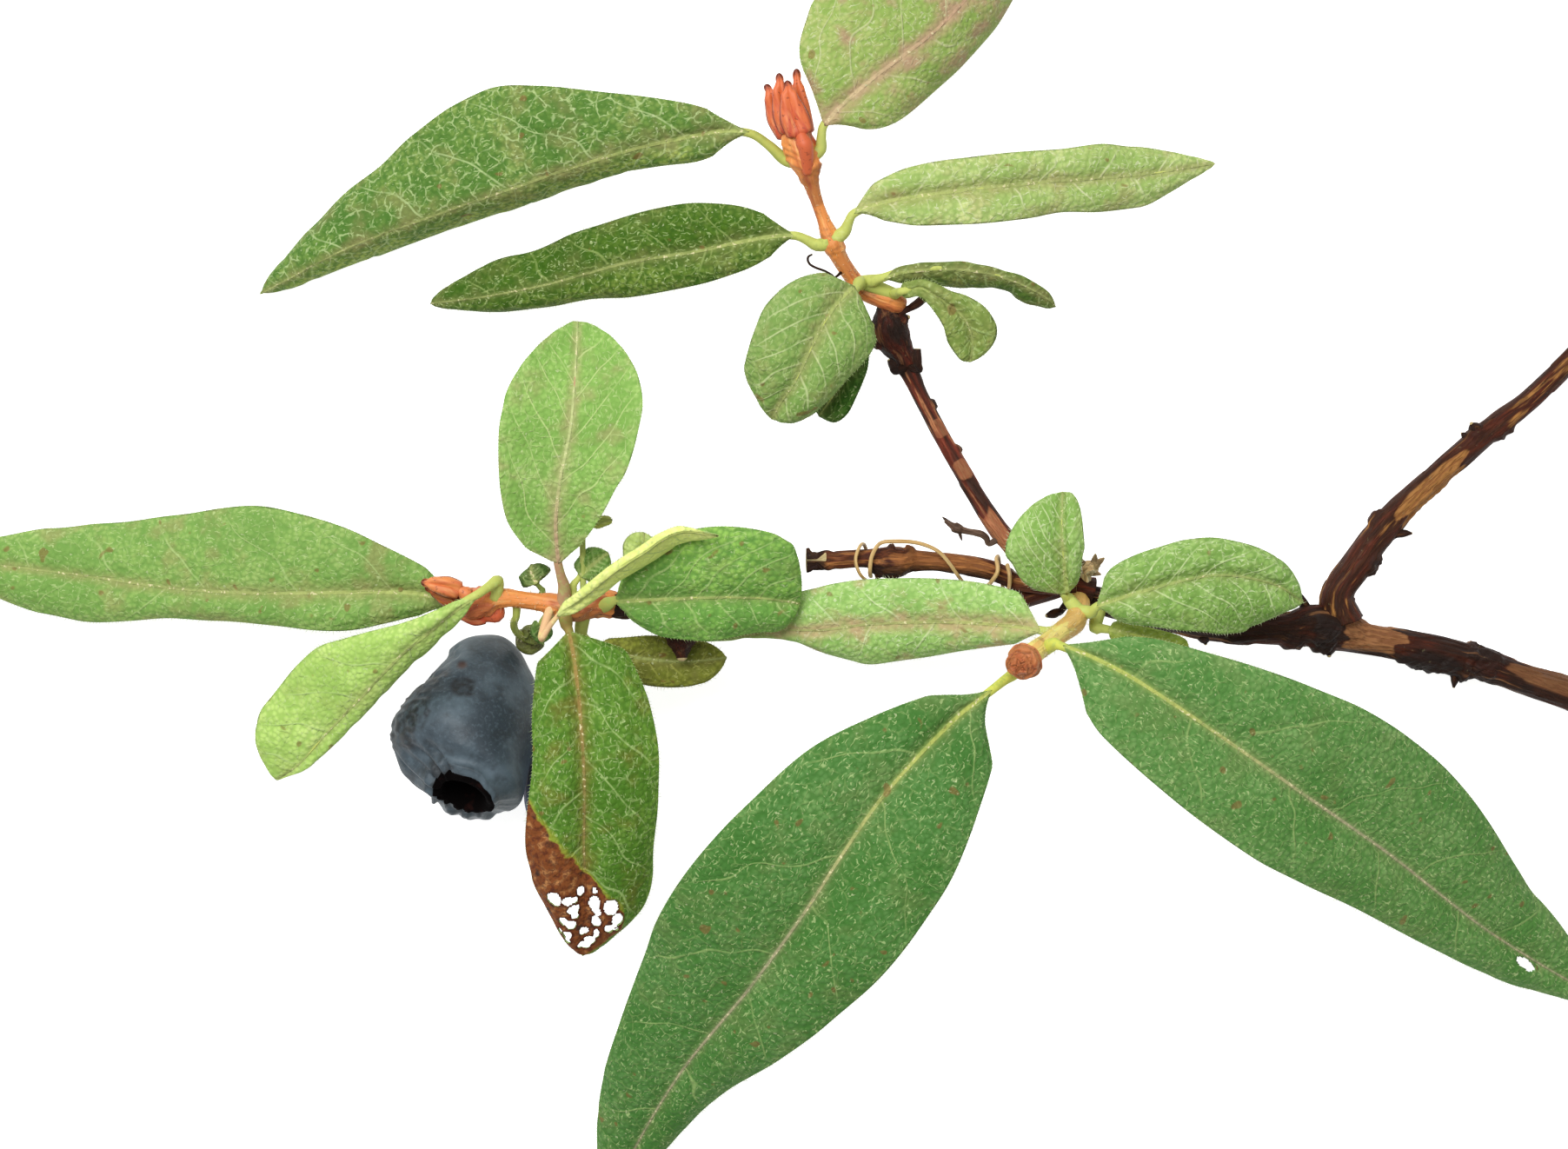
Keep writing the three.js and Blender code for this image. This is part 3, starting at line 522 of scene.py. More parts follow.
@dataclass(frozen=True)
class LeafFinish:
    """Living honeysuckle leaf: a matt, downy blade with a broken net of paler veins.

    Attributes:
        blade: Colour of most of the upper face.
        shade: Its deeper patches.
        light: Its paler patches, and a paler band along the margins.
        vein: Side veins and the net between them.
        rib_base: Midrib next to the stalk.
        rib_tip: Midrib further out.
        stalk: The stalk.
        under: Lower face.
        blush: Warm brown tint along the midrib.
        blushed: How strong the blush is.
        spots: How much of the blade carries small brown specks.
        net: How strongly the net shows.
        hair: Its short hairs.
        left: Painted light: a paler colour laid over the half left of the midrib, as seen from the
            stalk, for the light and sheen that half catches.
        dead: Its dry end, if it has one.
    """

    blade: str
    shade: str
    light: str
    vein: str = "#a9c27a"
    rib_base: str = "#b4bf70"
    rib_tip: str = "#9fa866"
    stalk: str = "#bcc465"
    under: str = "#99a96a"
    blush: str = "#a08a62"
    blushed: float = 0.15
    spots: float = 0.5
    net: float = 0.3
    hair: str = "#bcd08e"
    left: str = ""
    dead: Blight | None = None

    def upper(self, name: str, spacing: float) -> bpy.types.Material:
        """The upper face.

        Args:
            name: The material's name.
            spacing: Distance between side veins, in millimetres.

        Returns:
            The material.
        """
        paint = Paint(name, self.blade, roughness=0.7, specular=0.12)
        _, vein, across, along = paint.attribute(BLADE)
        _, rib, margin, reach = paint.attribute(EDGE)
        flat = paint.put("CombineXYZ", {0: across, 1: along})
        # Painted light: the half left of the midrib is made paler where it catches more light and
        # sheen.
        if self.left:
            paint.coat(self.left, paint.mask(across, -0.2, -1.6), 0.85)
        # Broad patches where the blade is deeper or paler, 5 to 7 mm wide.
        paint.blotch(self.shade, 7 * MM, 0.42, 0.66, 0.8)
        paint.blotch(self.light, 5 * MM, 0.52, 0.74, 0.6, detail=3.0)
        paint.coat(self.light, paint.mask(margin, 1.6, 0.2), 0.35)
        # Tissue between the finest veins, in cells of about 0.5 mm.
        grain = paint.mask(paint.cells(flat, 0.55, "Distance"), 0.1, 0.75)
        paint.coat(self.shade, grain, 0.75)
        paint.raise_by(grain, -0.07 * MM)
        paint.blotch(self.shade, 0.9 * MM, 0.48, 0.66, 0.75, detail=3.0)
        paint.blotch(self.blush, 3.2 * MM, 0.5, 0.7, self.blushed, detail=5.0)
        # The net of small veins: edges of cells 1.5 mm wide, bent and broken.
        bend = paint.put("TexNoise", {"Vector": flat, "Scale": 0.9, "Detail": 2.0}, "Color")
        bent = {0: bend, 1: (1.1, 1.1, 0.0), 2: flat}
        bent = paint.put("VectorMath", bent, operation="MULTIPLY_ADD")
        net = paint.cells(bent, 1.5, "Distance", feature="DISTANCE_TO_EDGE")
        lines = paint.mask(net, 0.085, 0.02, paint.mask(paint.patches(1.3, at=flat), 0.38, 0.6))
        paint.coat(self.vein, lines, self.net)
        paint.raise_by(lines, 0.03 * MM)
        # Short pale hairs lying on the blade. Real ones are 0.03 mm thick; these are 0.1 mm.
        for low, stretch in ((0.63, (1, 5, 1)), (0.66, (4, 1.6, 1))):
            strokes = {"detail": 1.0, "at": bent, "stretch": stretch}
            paint.blotch(self.hair, 0.17, low, low + 0.06, 0.5, **strokes)
        # Side veins, thinning towards the margin.
        turn = paint.math("PINGPONG", vein, 0.5, 1.0)
        away = paint.math("MULTIPLY_ADD", turn, -spacing, 0.5 * spacing)
        weak = paint.mask(paint.patches(2.4, at=flat), 0.3, 0.55, least=0.35)
        side = paint.mask(away, 0.2, 0.05, weak, paint.mask(margin, 0.2, 2.2, least=0.1))
        paint.coat(self.vein, side, 0.65)
        paint.raise_by(side, 0.04 * MM)
        # Midrib.
        off = paint.math("ABSOLUTE", rib)
        middle = paint.mask(off, 1.05, 0.55)
        ends = {0: paint.mask(reach, 0.05, 0.5), 6: linear(self.rib_base), 7: linear(self.rib_tip)}
        ends = paint.put("Mix", ends, 2, data_type="RGBA")
        worn = paint.mask(paint.patches(1.1 * MM, 3.0), 0.3, 0.6, least=0.5)
        paint.coat(self.blush, paint.mask(off, 8.0, 0.6, worn), self.blushed)
        paint.coat(ends, paint.mask(off, 3.0, 0.6), 0.2)
        paint.coat(ends, paint.mask(off, 1.0, 0.5, worn), 0.75)
        # Cream dots along the midrib, 0.3 mm across.
        paint.blotch("#e6dcae", 0.4 * MM, 0.6, 0.68, 0.8, middle)
        paint.raise_by(middle, 0.04 * MM)
        # Brown specks and bruises about 1 mm across, and pale dust.
        low = 0.76 - 0.09 * self.spots
        paint.blotch("#7d5a34", 1.7 * MM, low, low + 0.05, 0.6, detail=1.0)
        paint.blotch("#c5cf9f", 0.45 * MM, 0.71, 0.77, 0.5, detail=1.0)
        if self.dead:
            self._die_back(paint, flat, across, reach)
        return paint.done()

    def _die_back(self, paint: Paint, flat: object, across: object, reach: object) -> None:
        """Lay the dry end over the blade.

        Args:
            paint: The blade's material.
            flat: Place across and along the blade, in millimetres.
            across: Right of the midrib, in millimetres.
            reach: From stalk to tip, 0 to 1.
        """
        dead = self.dead
        ragged = paint.math("MULTIPLY_ADD", paint.patches(1.6, 3.0, flat), 0.08, reach)
        front = paint.math("MULTIPLY_ADD", across, dead.slant, ragged)
        tip = paint.mask(paint.math("MULTIPLY_ADD", across, -dead.hem, reach), 1.01, 0.99)
        side = paint.mask(across, -dead.reach, 0.3 - dead.reach, tip)
        start = dead.start + 0.04
        # A thin sour-yellow line where it meets living tissue, then brown in blotches of 1 mm.
        paint.coat("#a9a637", paint.mask(front, start - 0.03, start, side), 0.6)
        gone = paint.mask(front, start - 0.006, start + 0.006, side)
        paint.coat("#7d3f22", gone, 0.95)
        for colour, size, low, high, strength in (
            ("#bb8350", 0.9, 0.5, 0.62, 0.85),
            ("#57291a", 0.45, 0.47, 0.6, 0.75),
            ("#2b2320", 1.4, 0.56, 0.68, 0.8),
        ):
            paint.blotch(colour, size, low, high, strength, gone, detail=3.0, at=flat)
        # The rims of its holes are darkest.
        paint.coat("#45190f", paint.attribute(GRAIN)[1], 0.85)

    def lower(self, name: str) -> bpy.types.Material:
        """The lower face: paler and greyer, with a close net of raised veins."""
        paint = Paint(name, self.under, roughness=0.75, specular=0.2)
        _, _, across, along = paint.attribute(BLADE)
        _, rib, margin, _ = paint.attribute(EDGE)
        flat = paint.put("CombineXYZ", {0: across, 1: along})
        paint.blotch(self.blade, 4 * MM, 0.4, 0.7, 0.4, detail=3.0)
        net = paint.cells(flat, 1.2, "Distance", feature="DISTANCE_TO_EDGE")
        lines = paint.mask(net, 0.14, 0.03)
        paint.coat(self.vein, lines, 0.5)
        paint.raise_by(lines, 0.1 * MM)
        paint.coat(self.rib_base, paint.mask(paint.math("ABSOLUTE", rib), 1.5, 0.8), 0.8)
        paint.coat(self.vein, paint.mask(margin, 0.5, 0.1), 0.5)
        return paint.done()

    def rib(self, name: str) -> bpy.types.Material:
        """The stalk and the raised midrib below."""
        paint = Paint(name, self.stalk, roughness=0.6, specular=0.25)
        paint.blotch(self.blade, 1.2 * MM, 0.5, 0.75, 0.3)
        paint.blotch(self.light, 0.5 * MM, 0.5, 0.7, 0.35)
        return paint.done()




@dataclass(frozen=True)
class HairFinish:
    """Dry plant hair: pale and matt.

    Attributes:
        colour: Its colour.
    """

    colour: str

    def dress(self, name: str) -> bpy.types.Material:
        """The material."""
        return Paint(name, self.colour, roughness=0.6, specular=0.3).done()


# ---- leaves ------------------------------------------------------------------------------------


class Blade:
    """The upper face of a leaf-shaped node as a smooth surface."""

    ACROSS = 7  # points of a section that lie on the upper face
    MIDDLE, BELOW = 3, 8  # points of a section on the midrib, above and below
    STALK_RINGS = 2
    WEDGE = 0.07  # part of the length over which the blade widens from the stalk
    TIP_STATIONS = (0.0, 0.35, 0.65, 0.88, 1.0)
    BLUNT = 1.25  # a tip less round than this is pointed
    POWERS = np.linspace(1.0, 2.6, 33)  # how round a side may close
    MISFIT = 0.06  # how far its curve may miss the margin, as a part of the width

    def __init__(self, node: str, parent: str, roundness: float, widen: float) -> None:
        """Read the node's sections.

        Args:
            node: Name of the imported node.
            parent: Name of the node it grows from.
            roundness: How the tip closes: 1 is pointed, 2 is a half ellipse.
            widen: How much wider than the node's sections it is.
        """
        self.skin = RingSkin(node, parent)
        tip = np.repeat(self.skin.tip[None, None], self.ACROSS, axis=1)
        rows = np.concatenate([self._aligned()[self.STALK_RINGS :, : self.ACROSS], tip])
        middle = rows[:, self.MIDDLE, None]
        self.rows = middle + (rows - middle) * widen
        self._fine = np.linspace(0, len(rows) - 1, 400)
        self._travelled = lengths_along(through(self.rows[:, self.MIDDLE], self._fine))
        self.length = self._travelled[-1]
        self._close_tip(roundness)

    def _close_tip(self, roundness: float) -> None:
        """Work out how each side closes to the tip.

        A blunt tip closes from the last section but one, by the curve that passes through the
        margins of the last one; a pointed one closes from the last.

        Args:
            roundness: How the tip closes where no such curve fits.
        """
        last = len(self.rows) - len(self.TIP_STATIONS)
        out = self.rows[:, [0, -1]] - self.rows[:, self.MIDDLE, None]
        spread = np.linalg.norm(out, axis=2)
        travelled = np.interp([last - 1, last], self._fine, self._travelled)
        part = (travelled[1] - travelled[0]) / (self.length - travelled[0])
        curve = (1.0 - part**self.POWERS) ** (1.0 / self.POWERS)
        wanted = spread[last] / np.maximum(spread[last - 1], 1e-9)
        best = np.abs(wanted[:, None] - curve).argmin(axis=1)
        sides, self._parts = np.full(2, roundness), np.array(self.TIP_STATIONS)
        if roundness > self.BLUNT and np.all(np.abs(curve[best] - wanted) < self.MISFIT):
            sides, last = self.POWERS[best], last - 1
            self._parts = np.concatenate([[0.0], self._parts * (1.0 - part) + part])
        self._last = last
        self._powers = np.interp(np.arange(self.ACROSS), [0, self.ACROSS - 1], sides)

    def _aligned(self) -> np.ndarray:
        """Rings turned so that each starts at its left margin and crosses its upper face first."""
        rings = self.skin.rings
        count, across = rings.shape[1], self.ACROSS - 1
        orders = [
            [(start + way * i) % count for i in range(count)]
            for start in range(count)
            for way in (1, -1)
        ]
        sharpness = []
        for ring in rings:
            back, on = unit(np.roll(ring, 1, 0) - ring), unit(np.roll(ring, -1, 0) - ring)
            point = np.sum(back * on, axis=1)
            scores = [point[order[0]] + point[order[across]] for order in orders]
            sharpness.append((max(scores), int(np.argmax(scores))))
        start = max(range(self.STALK_RINGS + 1, len(rings)), key=lambda k: sharpness[k][0])
        result = {start: rings[start][orders[sharpness[start][1]]]}
        for way in (1, -1):
            k = start + way
            while 0 <= k < len(rings):
                known, here = (ring - ring.mean(0) for ring in (result[k - way], rings[k]))
                known, here = known / np.linalg.norm(known), here / np.linalg.norm(here)
                fit = [np.sum((here[order] - known) ** 2) for order in orders]
                result[k] = rings[k][orders[int(np.argmin(fit))]]
                k += way
        turned = np.array([result[k] for k in range(len(rings))])
        up = turned[start, self.MIDDLE] - turned[start, self.BELOW]
        centres = turned.mean(axis=1)
        ahead = centres[min(start + 1, len(rings) - 1)] - centres[start - 1]
        if np.dot(turned[start, 0] - turned[start, across], np.cross(up, ahead)) < 0:
            turned = turned[:, [*range(across, -1, -1), *range(count - 1, across, -1)]]
        return turned

    def at(self, across: np.ndarray, along: np.ndarray) -> np.ndarray:
        """Places on the surface for every pair of a column and a row.

        Args:
            across: Columns, 0 at the left margin to 1 at the right.
            along: Rows, 0 at the stalk to 1 at the tip.

        Returns:
            Array of shape (rows, columns, 3).
        """
        index = np.interp(along * self.length, self._travelled, self._fine)
        sections = through(self.rows[: self._last + 1], np.minimum(index, float(self._last)))
        part = np.interp(index - self._last, range(len(self._parts)), self._parts)[:, None]
        close = (1.0 - part**self._powers) ** (1.0 / self._powers)
        close = close * np.clip(along / self.WEDGE, 0.0, 1.0)[:, None] ** 0.6
        middle = through(self.rows[:, self.MIDDLE, None], index)
        sections = middle + (sections - sections[:, self.MIDDLE, None]) * close[..., None]
        return through(sections.transpose(1, 0, 2), across * (self.ACROSS - 1)).transpose(1, 0, 2)


@dataclass(frozen=True)
class Hole:
    """A hole eaten through a blade.

    Attributes:
        along: From stalk to tip, 0 to 1.
        across: Right of the midrib, in millimetres.
        length: Half its length along the blade, in millimetres.
        width: Half its width, in millimetres.
    """

    along: float
    across: float
    length: float
    width: float


@dataclass
class Part:
    """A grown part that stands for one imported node.

    Attributes:
        node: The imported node.
        parent: The node it grows from; None where its base has the larger X.
    """

    node: str
    parent: str | None


@dataclass
class Leaf(Part):
    """One leaf: a thin puckered blade on a stalk that runs on as a raised midrib below.

    Sizes are in millimetres.

    Attributes:
        finish: Its colours.
        veins: Side veins on each side.
        slant: How far a side vein runs on for each unit it goes out, next to the midrib.
        curl: How much more it bends towards the tip as it goes out, per millimetre.
        grid: Spacing of its vertices.
        pucker: Height of the swellings between its veins.
        wave: Height of the waves in its margins.
        thickness: Of the blade.
        rib: Half width of the midrib at its base.
        stalk: Radius of the stalk.
        seed: Picks its own pattern.
        reach_in: How deep the stalk sits in its parent.
        roundness: How the tip closes: 1 is pointed, 2 is a half ellipse.
        widen: How much wider than the node's sections it is.
        holes: Holes eaten through it.
    """

    MARGIN_HAIR = (0.42, 0.33)  # length of the margin's hairs and the space between them
    UPPER, LOWER, RIB, HAIR = range(4)  # material slots

    finish: LeafFinish
    veins: int = 6
    slant: float = 0.7
    curl: float = 0.05
    grid: float = 0.3
    pucker: float = 0.12
    wave: float = 0.35
    thickness: float = 0.26
    rib: float = 0.4
    stalk: float = 0.5
    seed: int = 1
    reach_in: float = 0.8
    roundness: float = 1.5
    widen: float = 1.0
    holes: tuple[Hole, ...] = ()

    def build(self) -> bpy.types.Object:
        """Build the leaf.

        Returns:
            The finished piece.
        """
        blade = Blade(self.node, self.parent, self.roundness, self.widen)
        width = max(lengths_along(row)[-1] for row in blade.rows)
        columns = max(16, 2 * round(width / (self.grid * MM) / 2))
        rows = max(24, round(blade.length / (self.grid * MM)))
        across = np.linspace(0, 1, columns + 1)
        along = 1.0 - (1.0 - np.linspace(0, 1, rows + 1)) ** 1.3  # closer rows at the tip
        surface = blade.at(across, along)
        facts, edge = self._facts(blade, surface, along)
        relief, over = self._relief(surface, facts, edge)
        surface = surface + over * relief[..., None]
        # Its margin is rounded over 0.7 of its thickness.
        inset = 1.0 - np.clip(edge[..., 1] / (0.7 * self.thickness), 0.0, 1.0)
        depth = np.sqrt(1.0 - inset**2) * smoothstep(edge[..., 2], -0.001, 0.01)
        gone, torn = self._eaten(facts, blade.length / MM)
        rim = np.zeros(depth.shape, bool)
        for i, j in ((0, 0), (0, 1), (1, 0), (1, 1)):
            rim[i : rows + i, j : columns + j] |= gone
        depth = np.where(rim, 0.0, depth) * self.thickness * MM
        mesh = new_mesh(BLADE, EDGE, GRAIN)
        under = surface - over * depth[..., None]
        for sheet, places in ((self.UPPER, surface), (self.LOWER, under)):
            faces = set(mesh.faces)
            made, column, row = grid(mesh, columns, rows)
            lay(made, places[row, column])
            grain = torn[row, column, None] * np.ones(3)
            mark(mesh, made, blade=facts[row, column], edge=edge[row, column], grain=grain)
            added = [face for face in mesh.faces if face not in faces]
            if sheet == self.LOWER:
                bmesh.ops.reverse_faces(mesh, faces=added)
            for face in added:
                face.material_index = sheet
            if gone.any():
                cell = dict(zip(made, zip(row, column)))
                corners = {face: np.min([cell[v] for v in face.verts], axis=0) for face in added}
                lost = [face for face in added if gone[tuple(corners[face])]]
                bmesh.ops.delete(mesh, geom=lost, context="FACES")
        bmesh.ops.remove_doubles(mesh, verts=mesh.verts, dist=self.grid * MM * 0.02)
        self._add_rib(mesh, blade)
        return self._finish(mesh, surface, blade.length / MM / self.veins)

    def _facts(
        self, blade: Blade, surface: np.ndarray, rows: np.ndarray
    ) -> tuple[np.ndarray, np.ndarray]:
        """Distances over the blade, in millimetres, that relief and colour follow.

        Args:
            blade: The leaf's surface.
            surface: Places on it, by row and column.
            rows: How far along each row is, 0 to 1.

        Returns:
            Side-vein number, distance across and distance along; then distance from the midrib
            in rib widths, distance from the margin and part of the length.
        """
        middle = surface.shape[1] // 2
        steps = np.linalg.norm(np.diff(surface, axis=1), axis=2) / MM
        across = np.concatenate([np.zeros((len(surface), 1)), np.cumsum(steps, axis=1)], axis=1)
        across = across - across[:, middle : middle + 1]
        margin = np.minimum(across - across[:, :1], across[:, -1:] - across)
        part = rows[:, None] + np.zeros_like(across)
        along = part * blade.length / MM
        out = np.abs(across)
        wobble = ripple(triple(across / 3 + self.seed, along / 3, self.seed), 1.0, self.seed)
        bend = 1.3 * wobble * smoothstep(out, 0.0, 2.5)
        spacing = blade.length / MM / self.veins
        number = (along - self.slant * out - self.curl * out**2 + bend) / spacing
        # The veins of the right side come a little under half a space later.
        number = number + np.where(across > 0, 0.45, 0.0) + 0.37 * self.seed
        rib_width = 0.5 * self.rib * (1.0 - 0.8 * part) + 0.05
        return triple(number, across, along), triple(across / rib_width, margin, part)

    def _relief(
        self, surface: np.ndarray, facts: np.ndarray, edge: np.ndarray
    ) -> tuple[np.ndarray, np.ndarray]:
        """How far each place is raised, and which way.

        Args:
            surface: Places by row and column.
            facts: Side-vein number, distance across and distance along.
            edge: Distance from the midrib, distance from the margin and part of the length.

        Returns:
            Heights in metres, and the direction away from the upper face.
        """
        over = unit(np.cross(np.gradient(surface, axis=1), np.gradient(surface, axis=0)))
        number, across, along = np.moveaxis(facts, -1, 0)
        _, margin, part = np.moveaxis(edge, -1, 0)
        climb = np.abs(np.gradient(number, axis=0)).mean() / np.gradient(along, axis=0).mean()
        away = np.abs(number - np.floor(number) - 0.5) / max(1e-6, climb)
        places = triple(across, along, self.seed)
        swell = ripple(places, 1.5, self.seed + 3) + 0.6 * ripple(places, 3.7, self.seed + 5)
        # Swellings between the veins, and a furrow 0.6 mm to each side of the midrib.
        inner = smoothstep(margin, 0.0, 1.0) * smoothstep(part, 0.02, 0.15)
        height = self.pucker * (0.5 * swell + smoothstep(away, 0.0, 1.3)) * inner
        height -= self.pucker * 0.9 * np.exp(-((across / 0.6) ** 2)) * smoothstep(part, 0.0, 0.1)
        # Each margin has waves of its own, which fade inwards and towards both ends.
        rim = np.exp(-margin / 1.6) * smoothstep(part, 0.08, 0.3)
        rim = rim * (1 - smoothstep(part, 0.93, 1.0))
        waves = ripple(triple(np.sign(across) * 9, along, 0), 4.2, self.seed + 9)
        height += self.wave * rim * waves
        return height * MM, over

    def _eaten(self, facts: np.ndarray, length: float) -> tuple[np.ndarray, np.ndarray]:
        """Which faces of the blade's grid lie in a hole.

        Args:
            facts: Side-vein number, distance across and distance along.
            length: The blade's length in millimetres.

        Returns:
            True or false for each face, by row and column, and how close each place is to a
            hole: 1 at its rim, 0 from 0.3 mm away.
        """
        _, across, along = np.moveaxis(facts, -1, 0)
        torn = 0.12 * ripple(triple(across, along, 0), 0.4, self.seed)
        apart = np.full(across.shape, 9.0)  # too far from any hole to matter
        for hole in self.holes:
            out, on = across - hole.across, along - hole.along * length
            size = np.hypot(out, on) + 1e-6
            reach = 1.0 / np.hypot(out / size / hole.width, on / size / hole.length)
            apart = np.minimum(apart, size - reach - torn)
        middle = (apart[:-1, :-1] + apart[1:, 1:] + apart[:-1, 1:] + apart[1:, :-1]) / 4
        return middle < 0.0, 1.0 - smoothstep(apart, 0.05, 0.3)

    def _add_rib(self, mesh: bmesh.types.BMesh, blade: Blade) -> None:
        """Add the stalk and the midrib that stands out below the blade."""
        skin = blade.skin
        start = anchor(self.parent, skin.base, self.reach_in * MM)
        stalk = np.array([start, skin.base, skin.rings[1].mean(0), skin.rings[2].mean(0)])
        parts = np.linspace(0.06, 0.9, 14)  # how far along the blade the midrib shows below
        ridge = blade.at(np.array([0.5]), parts)[:, 0]
        sections = blade.at(np.array([0.4, 0.6]), parts)
        down = -unit(np.cross(sections[:, 1] - sections[:, 0], np.gradient(ridge, axis=0)))
        size = self.rib * MM * (1.0 - parts * 0.9)
        ridge = ridge + down * (size + 0.12 * MM)[:, None]
        radii = np.concatenate([self.stalk * MM * np.array([1.5, 1.25, 0.95, 0.85]), size])
        for face in add_tube(mesh, np.concatenate([stalk, ridge]), radii, 12, 0.35 * MM)[1]:
            face.material_index = self.RIB

    def _finish(
        self, mesh: bmesh.types.BMesh, surface: np.ndarray, spacing: float
    ) -> bpy.types.Object:
        """Add the short hairs that stand out from both margins, and dress the mesh.

        Args:
            mesh: The leaf.
            surface: Places on the blade, by row and column.
            spacing: Distance between side veins, in millimetres.

        Returns:
            The finished piece.
        """
        feet, ways = [], []
        length, space = self.MARGIN_HAIR
        for inner, edge in ((2, 0), (-3, -1)):
            line = surface[:, edge]
            travelled = lengths_along(line)
            spots = np.arange(0.4 * MM, travelled[-1], space * MM)
            index = np.interp(spots, travelled, np.arange(len(line)))
            ahead = unit(np.gradient(line, axis=0))
            feet.append(through(line, index))
            ways.append(through(unit(line - surface[:, inner]) + 0.5 * ahead, index))
        add_hairs(mesh, np.concatenate(feet), np.concatenate(ways), length, self.seed, self.HAIR)
        materials = [
            self.finish.upper(f"{self.node}_face", spacing),
            self.finish.lower(f"{self.node}_underside"),
            self.finish.rib(f"{self.node}_rib"),
            HairFinish(self.finish.hair).dress(f"{self.node}_hair"),
        ]
        return finish_piece(mesh, self.node, materials)


# ---- tubes and hairs ---------------------------------------------------------------------------


@dataclass
class TubePlaces:
    """The places of a tube's skin, one row each.

    Attributes:
        angle: Round the tube, in radians.
        along: From its start, in metres.
        out: Direction out of the tube.
        radius: Its plain radius there.
    """

    angle: np.ndarray
    along: np.ndarray
    out: np.ndarray
    radius: np.ndarray


def add_tube(
    mesh: bmesh.types.BMesh,
    course: np.ndarray,
    radii: np.ndarray,
    around: int,
    step: float,
    swell: Callable[[TubePlaces], tuple[np.ndarray, np.ndarray]] | None = None,
    round_ends: bool = False,
) -> tuple[list, list]:
    """Add a closed tube along a course.

    Args:
        mesh: Where it goes.
        course: Points it passes through.
        radii: Its radius at each point.
        around: Faces round it.
        step: Length of one row of faces.
        swell: Gives each place's radius and three numbers for the "edge" attribute.
        round_ends: Whether its ends are domed; they are flat otherwise.

    Returns:
        Its vertices and its faces.
    """
    fine = np.linspace(0, len(course) - 1, 60 * len(course))  # 60 steps for each point
    travelled = lengths_along(through(course, fine))
    rows = max(4, round(travelled[-1] / step))
    along = np.linspace(0, travelled[-1], rows + 1)
    index = np.interp(along, travelled, fine)
    line, size = through(course, index), np.maximum(through(radii, index), 1e-5)
    ahead, across, over = frames_along(line)
    caps = (0.0, 0.35, 0.66, 0.88)  # parts of the radius at the rings of an end
    whole = rows + 2 * len(caps)
    before = set(mesh.faces)
    made, column, k = grid(mesh, around, whole)
    at = np.clip(k - len(caps), 0, rows)
    shrink = np.ones(len(k))
    for i, part in enumerate(caps):
        shrink[(k == i) | (k == whole - i)] = part
    angle = column / around * 2 * math.pi
    out = across[at] * np.cos(angle)[:, None] + over[at] * np.sin(angle)[:, None]
    places = TubePlaces(angle, along[at], out, size[at])
    radius, edge = (size[at], np.zeros((len(k), 3))) if swell is None else swell(places)
    edge[:, 2] = np.maximum(edge[:, 2], 1.0 - shrink)
    spots = line[at] + out * (radius * shrink)[:, None]
    if round_ends:
        way = np.sign(k - whole / 2)[:, None]
        spots = spots + ahead[at] * way * (size[at] * np.sqrt(1 - shrink**2))[:, None]
    lay(made, spots)
    # The grain is drawn out eight times along the tube.
    turn = triple(np.cos(angle) * size[at], np.sin(angle) * size[at], along[at] / 8)
    mark(mesh, made, grain=turn / MM, edge=edge)
    bmesh.ops.remove_doubles(mesh, verts=made, dist=WELD / 10)
    faces = [face for face in mesh.faces if face not in before]
    bmesh.ops.recalc_face_normals(mesh, faces=faces)
    return [vert for vert in made if vert.is_valid], faces


def add_hairs(
    mesh: bmesh.types.BMesh, feet: np.ndarray, ways: np.ndarray, length: float, seed: int, slot: int
) -> None:
    """Add short stiff hairs, each a closed three-sided spike.

    Args:
        mesh: Where they go.
        feet: Where each stands.
        ways: The way each points.
        length: Mean length in millimetres.
        seed: Picks their lengths and leans.
        slot: Their material's slot.
    """
    made = bmesh.ops.create_cone(mesh, cap_ends=True, segments=3, radius1=0.5, depth=1.0)["verts"]
    faces = list({face for vert in made for face in vert.link_faces})
    each, sides = len(made), len(faces)
    while len(made) < each * len(feet):
        more = min(len(made), each * len(feet) - len(made))
        copied = bmesh.ops.duplicate(mesh, geom=made[:more] + faces[: more // each * sides])
        faces = faces + [copied["face_map"][face] for face in faces[: more // each * sides]]
        made = made + [copied["vert_map"][vert] for vert in made[:more]]
    draws = np.random.default_rng(seed)
    ways = unit(ways + 0.35 * draws.normal(size=ways.shape))
    sizes = length * MM * draws.uniform(0.5, 1.4, len(feet))
    across = unit(np.cross(ways, [0.31, 0.17, 0.93]))  # any way that no hair points
    over = np.cross(ways, across)
    spots = np.array([vert.co[:] for vert in made]).reshape(len(feet), each, 3)
    # A real hair is 0.03 mm thick; at 0.06 mm it can still be seen.
    round_it = spots[..., :1] * across[:, None] + spots[..., 1:2] * over[:, None]
    places = feet[:, None] + 0.06 * MM * round_it
    places = places + ((spots[..., 2:] + 0.4) * sizes[:, None, None]) * ways[:, None]
    lay(made, places.reshape(-1, 3))
    for face in faces:
        face.material_index = slot


# ---- wood and shoots ---------------------------------------------------------------------------


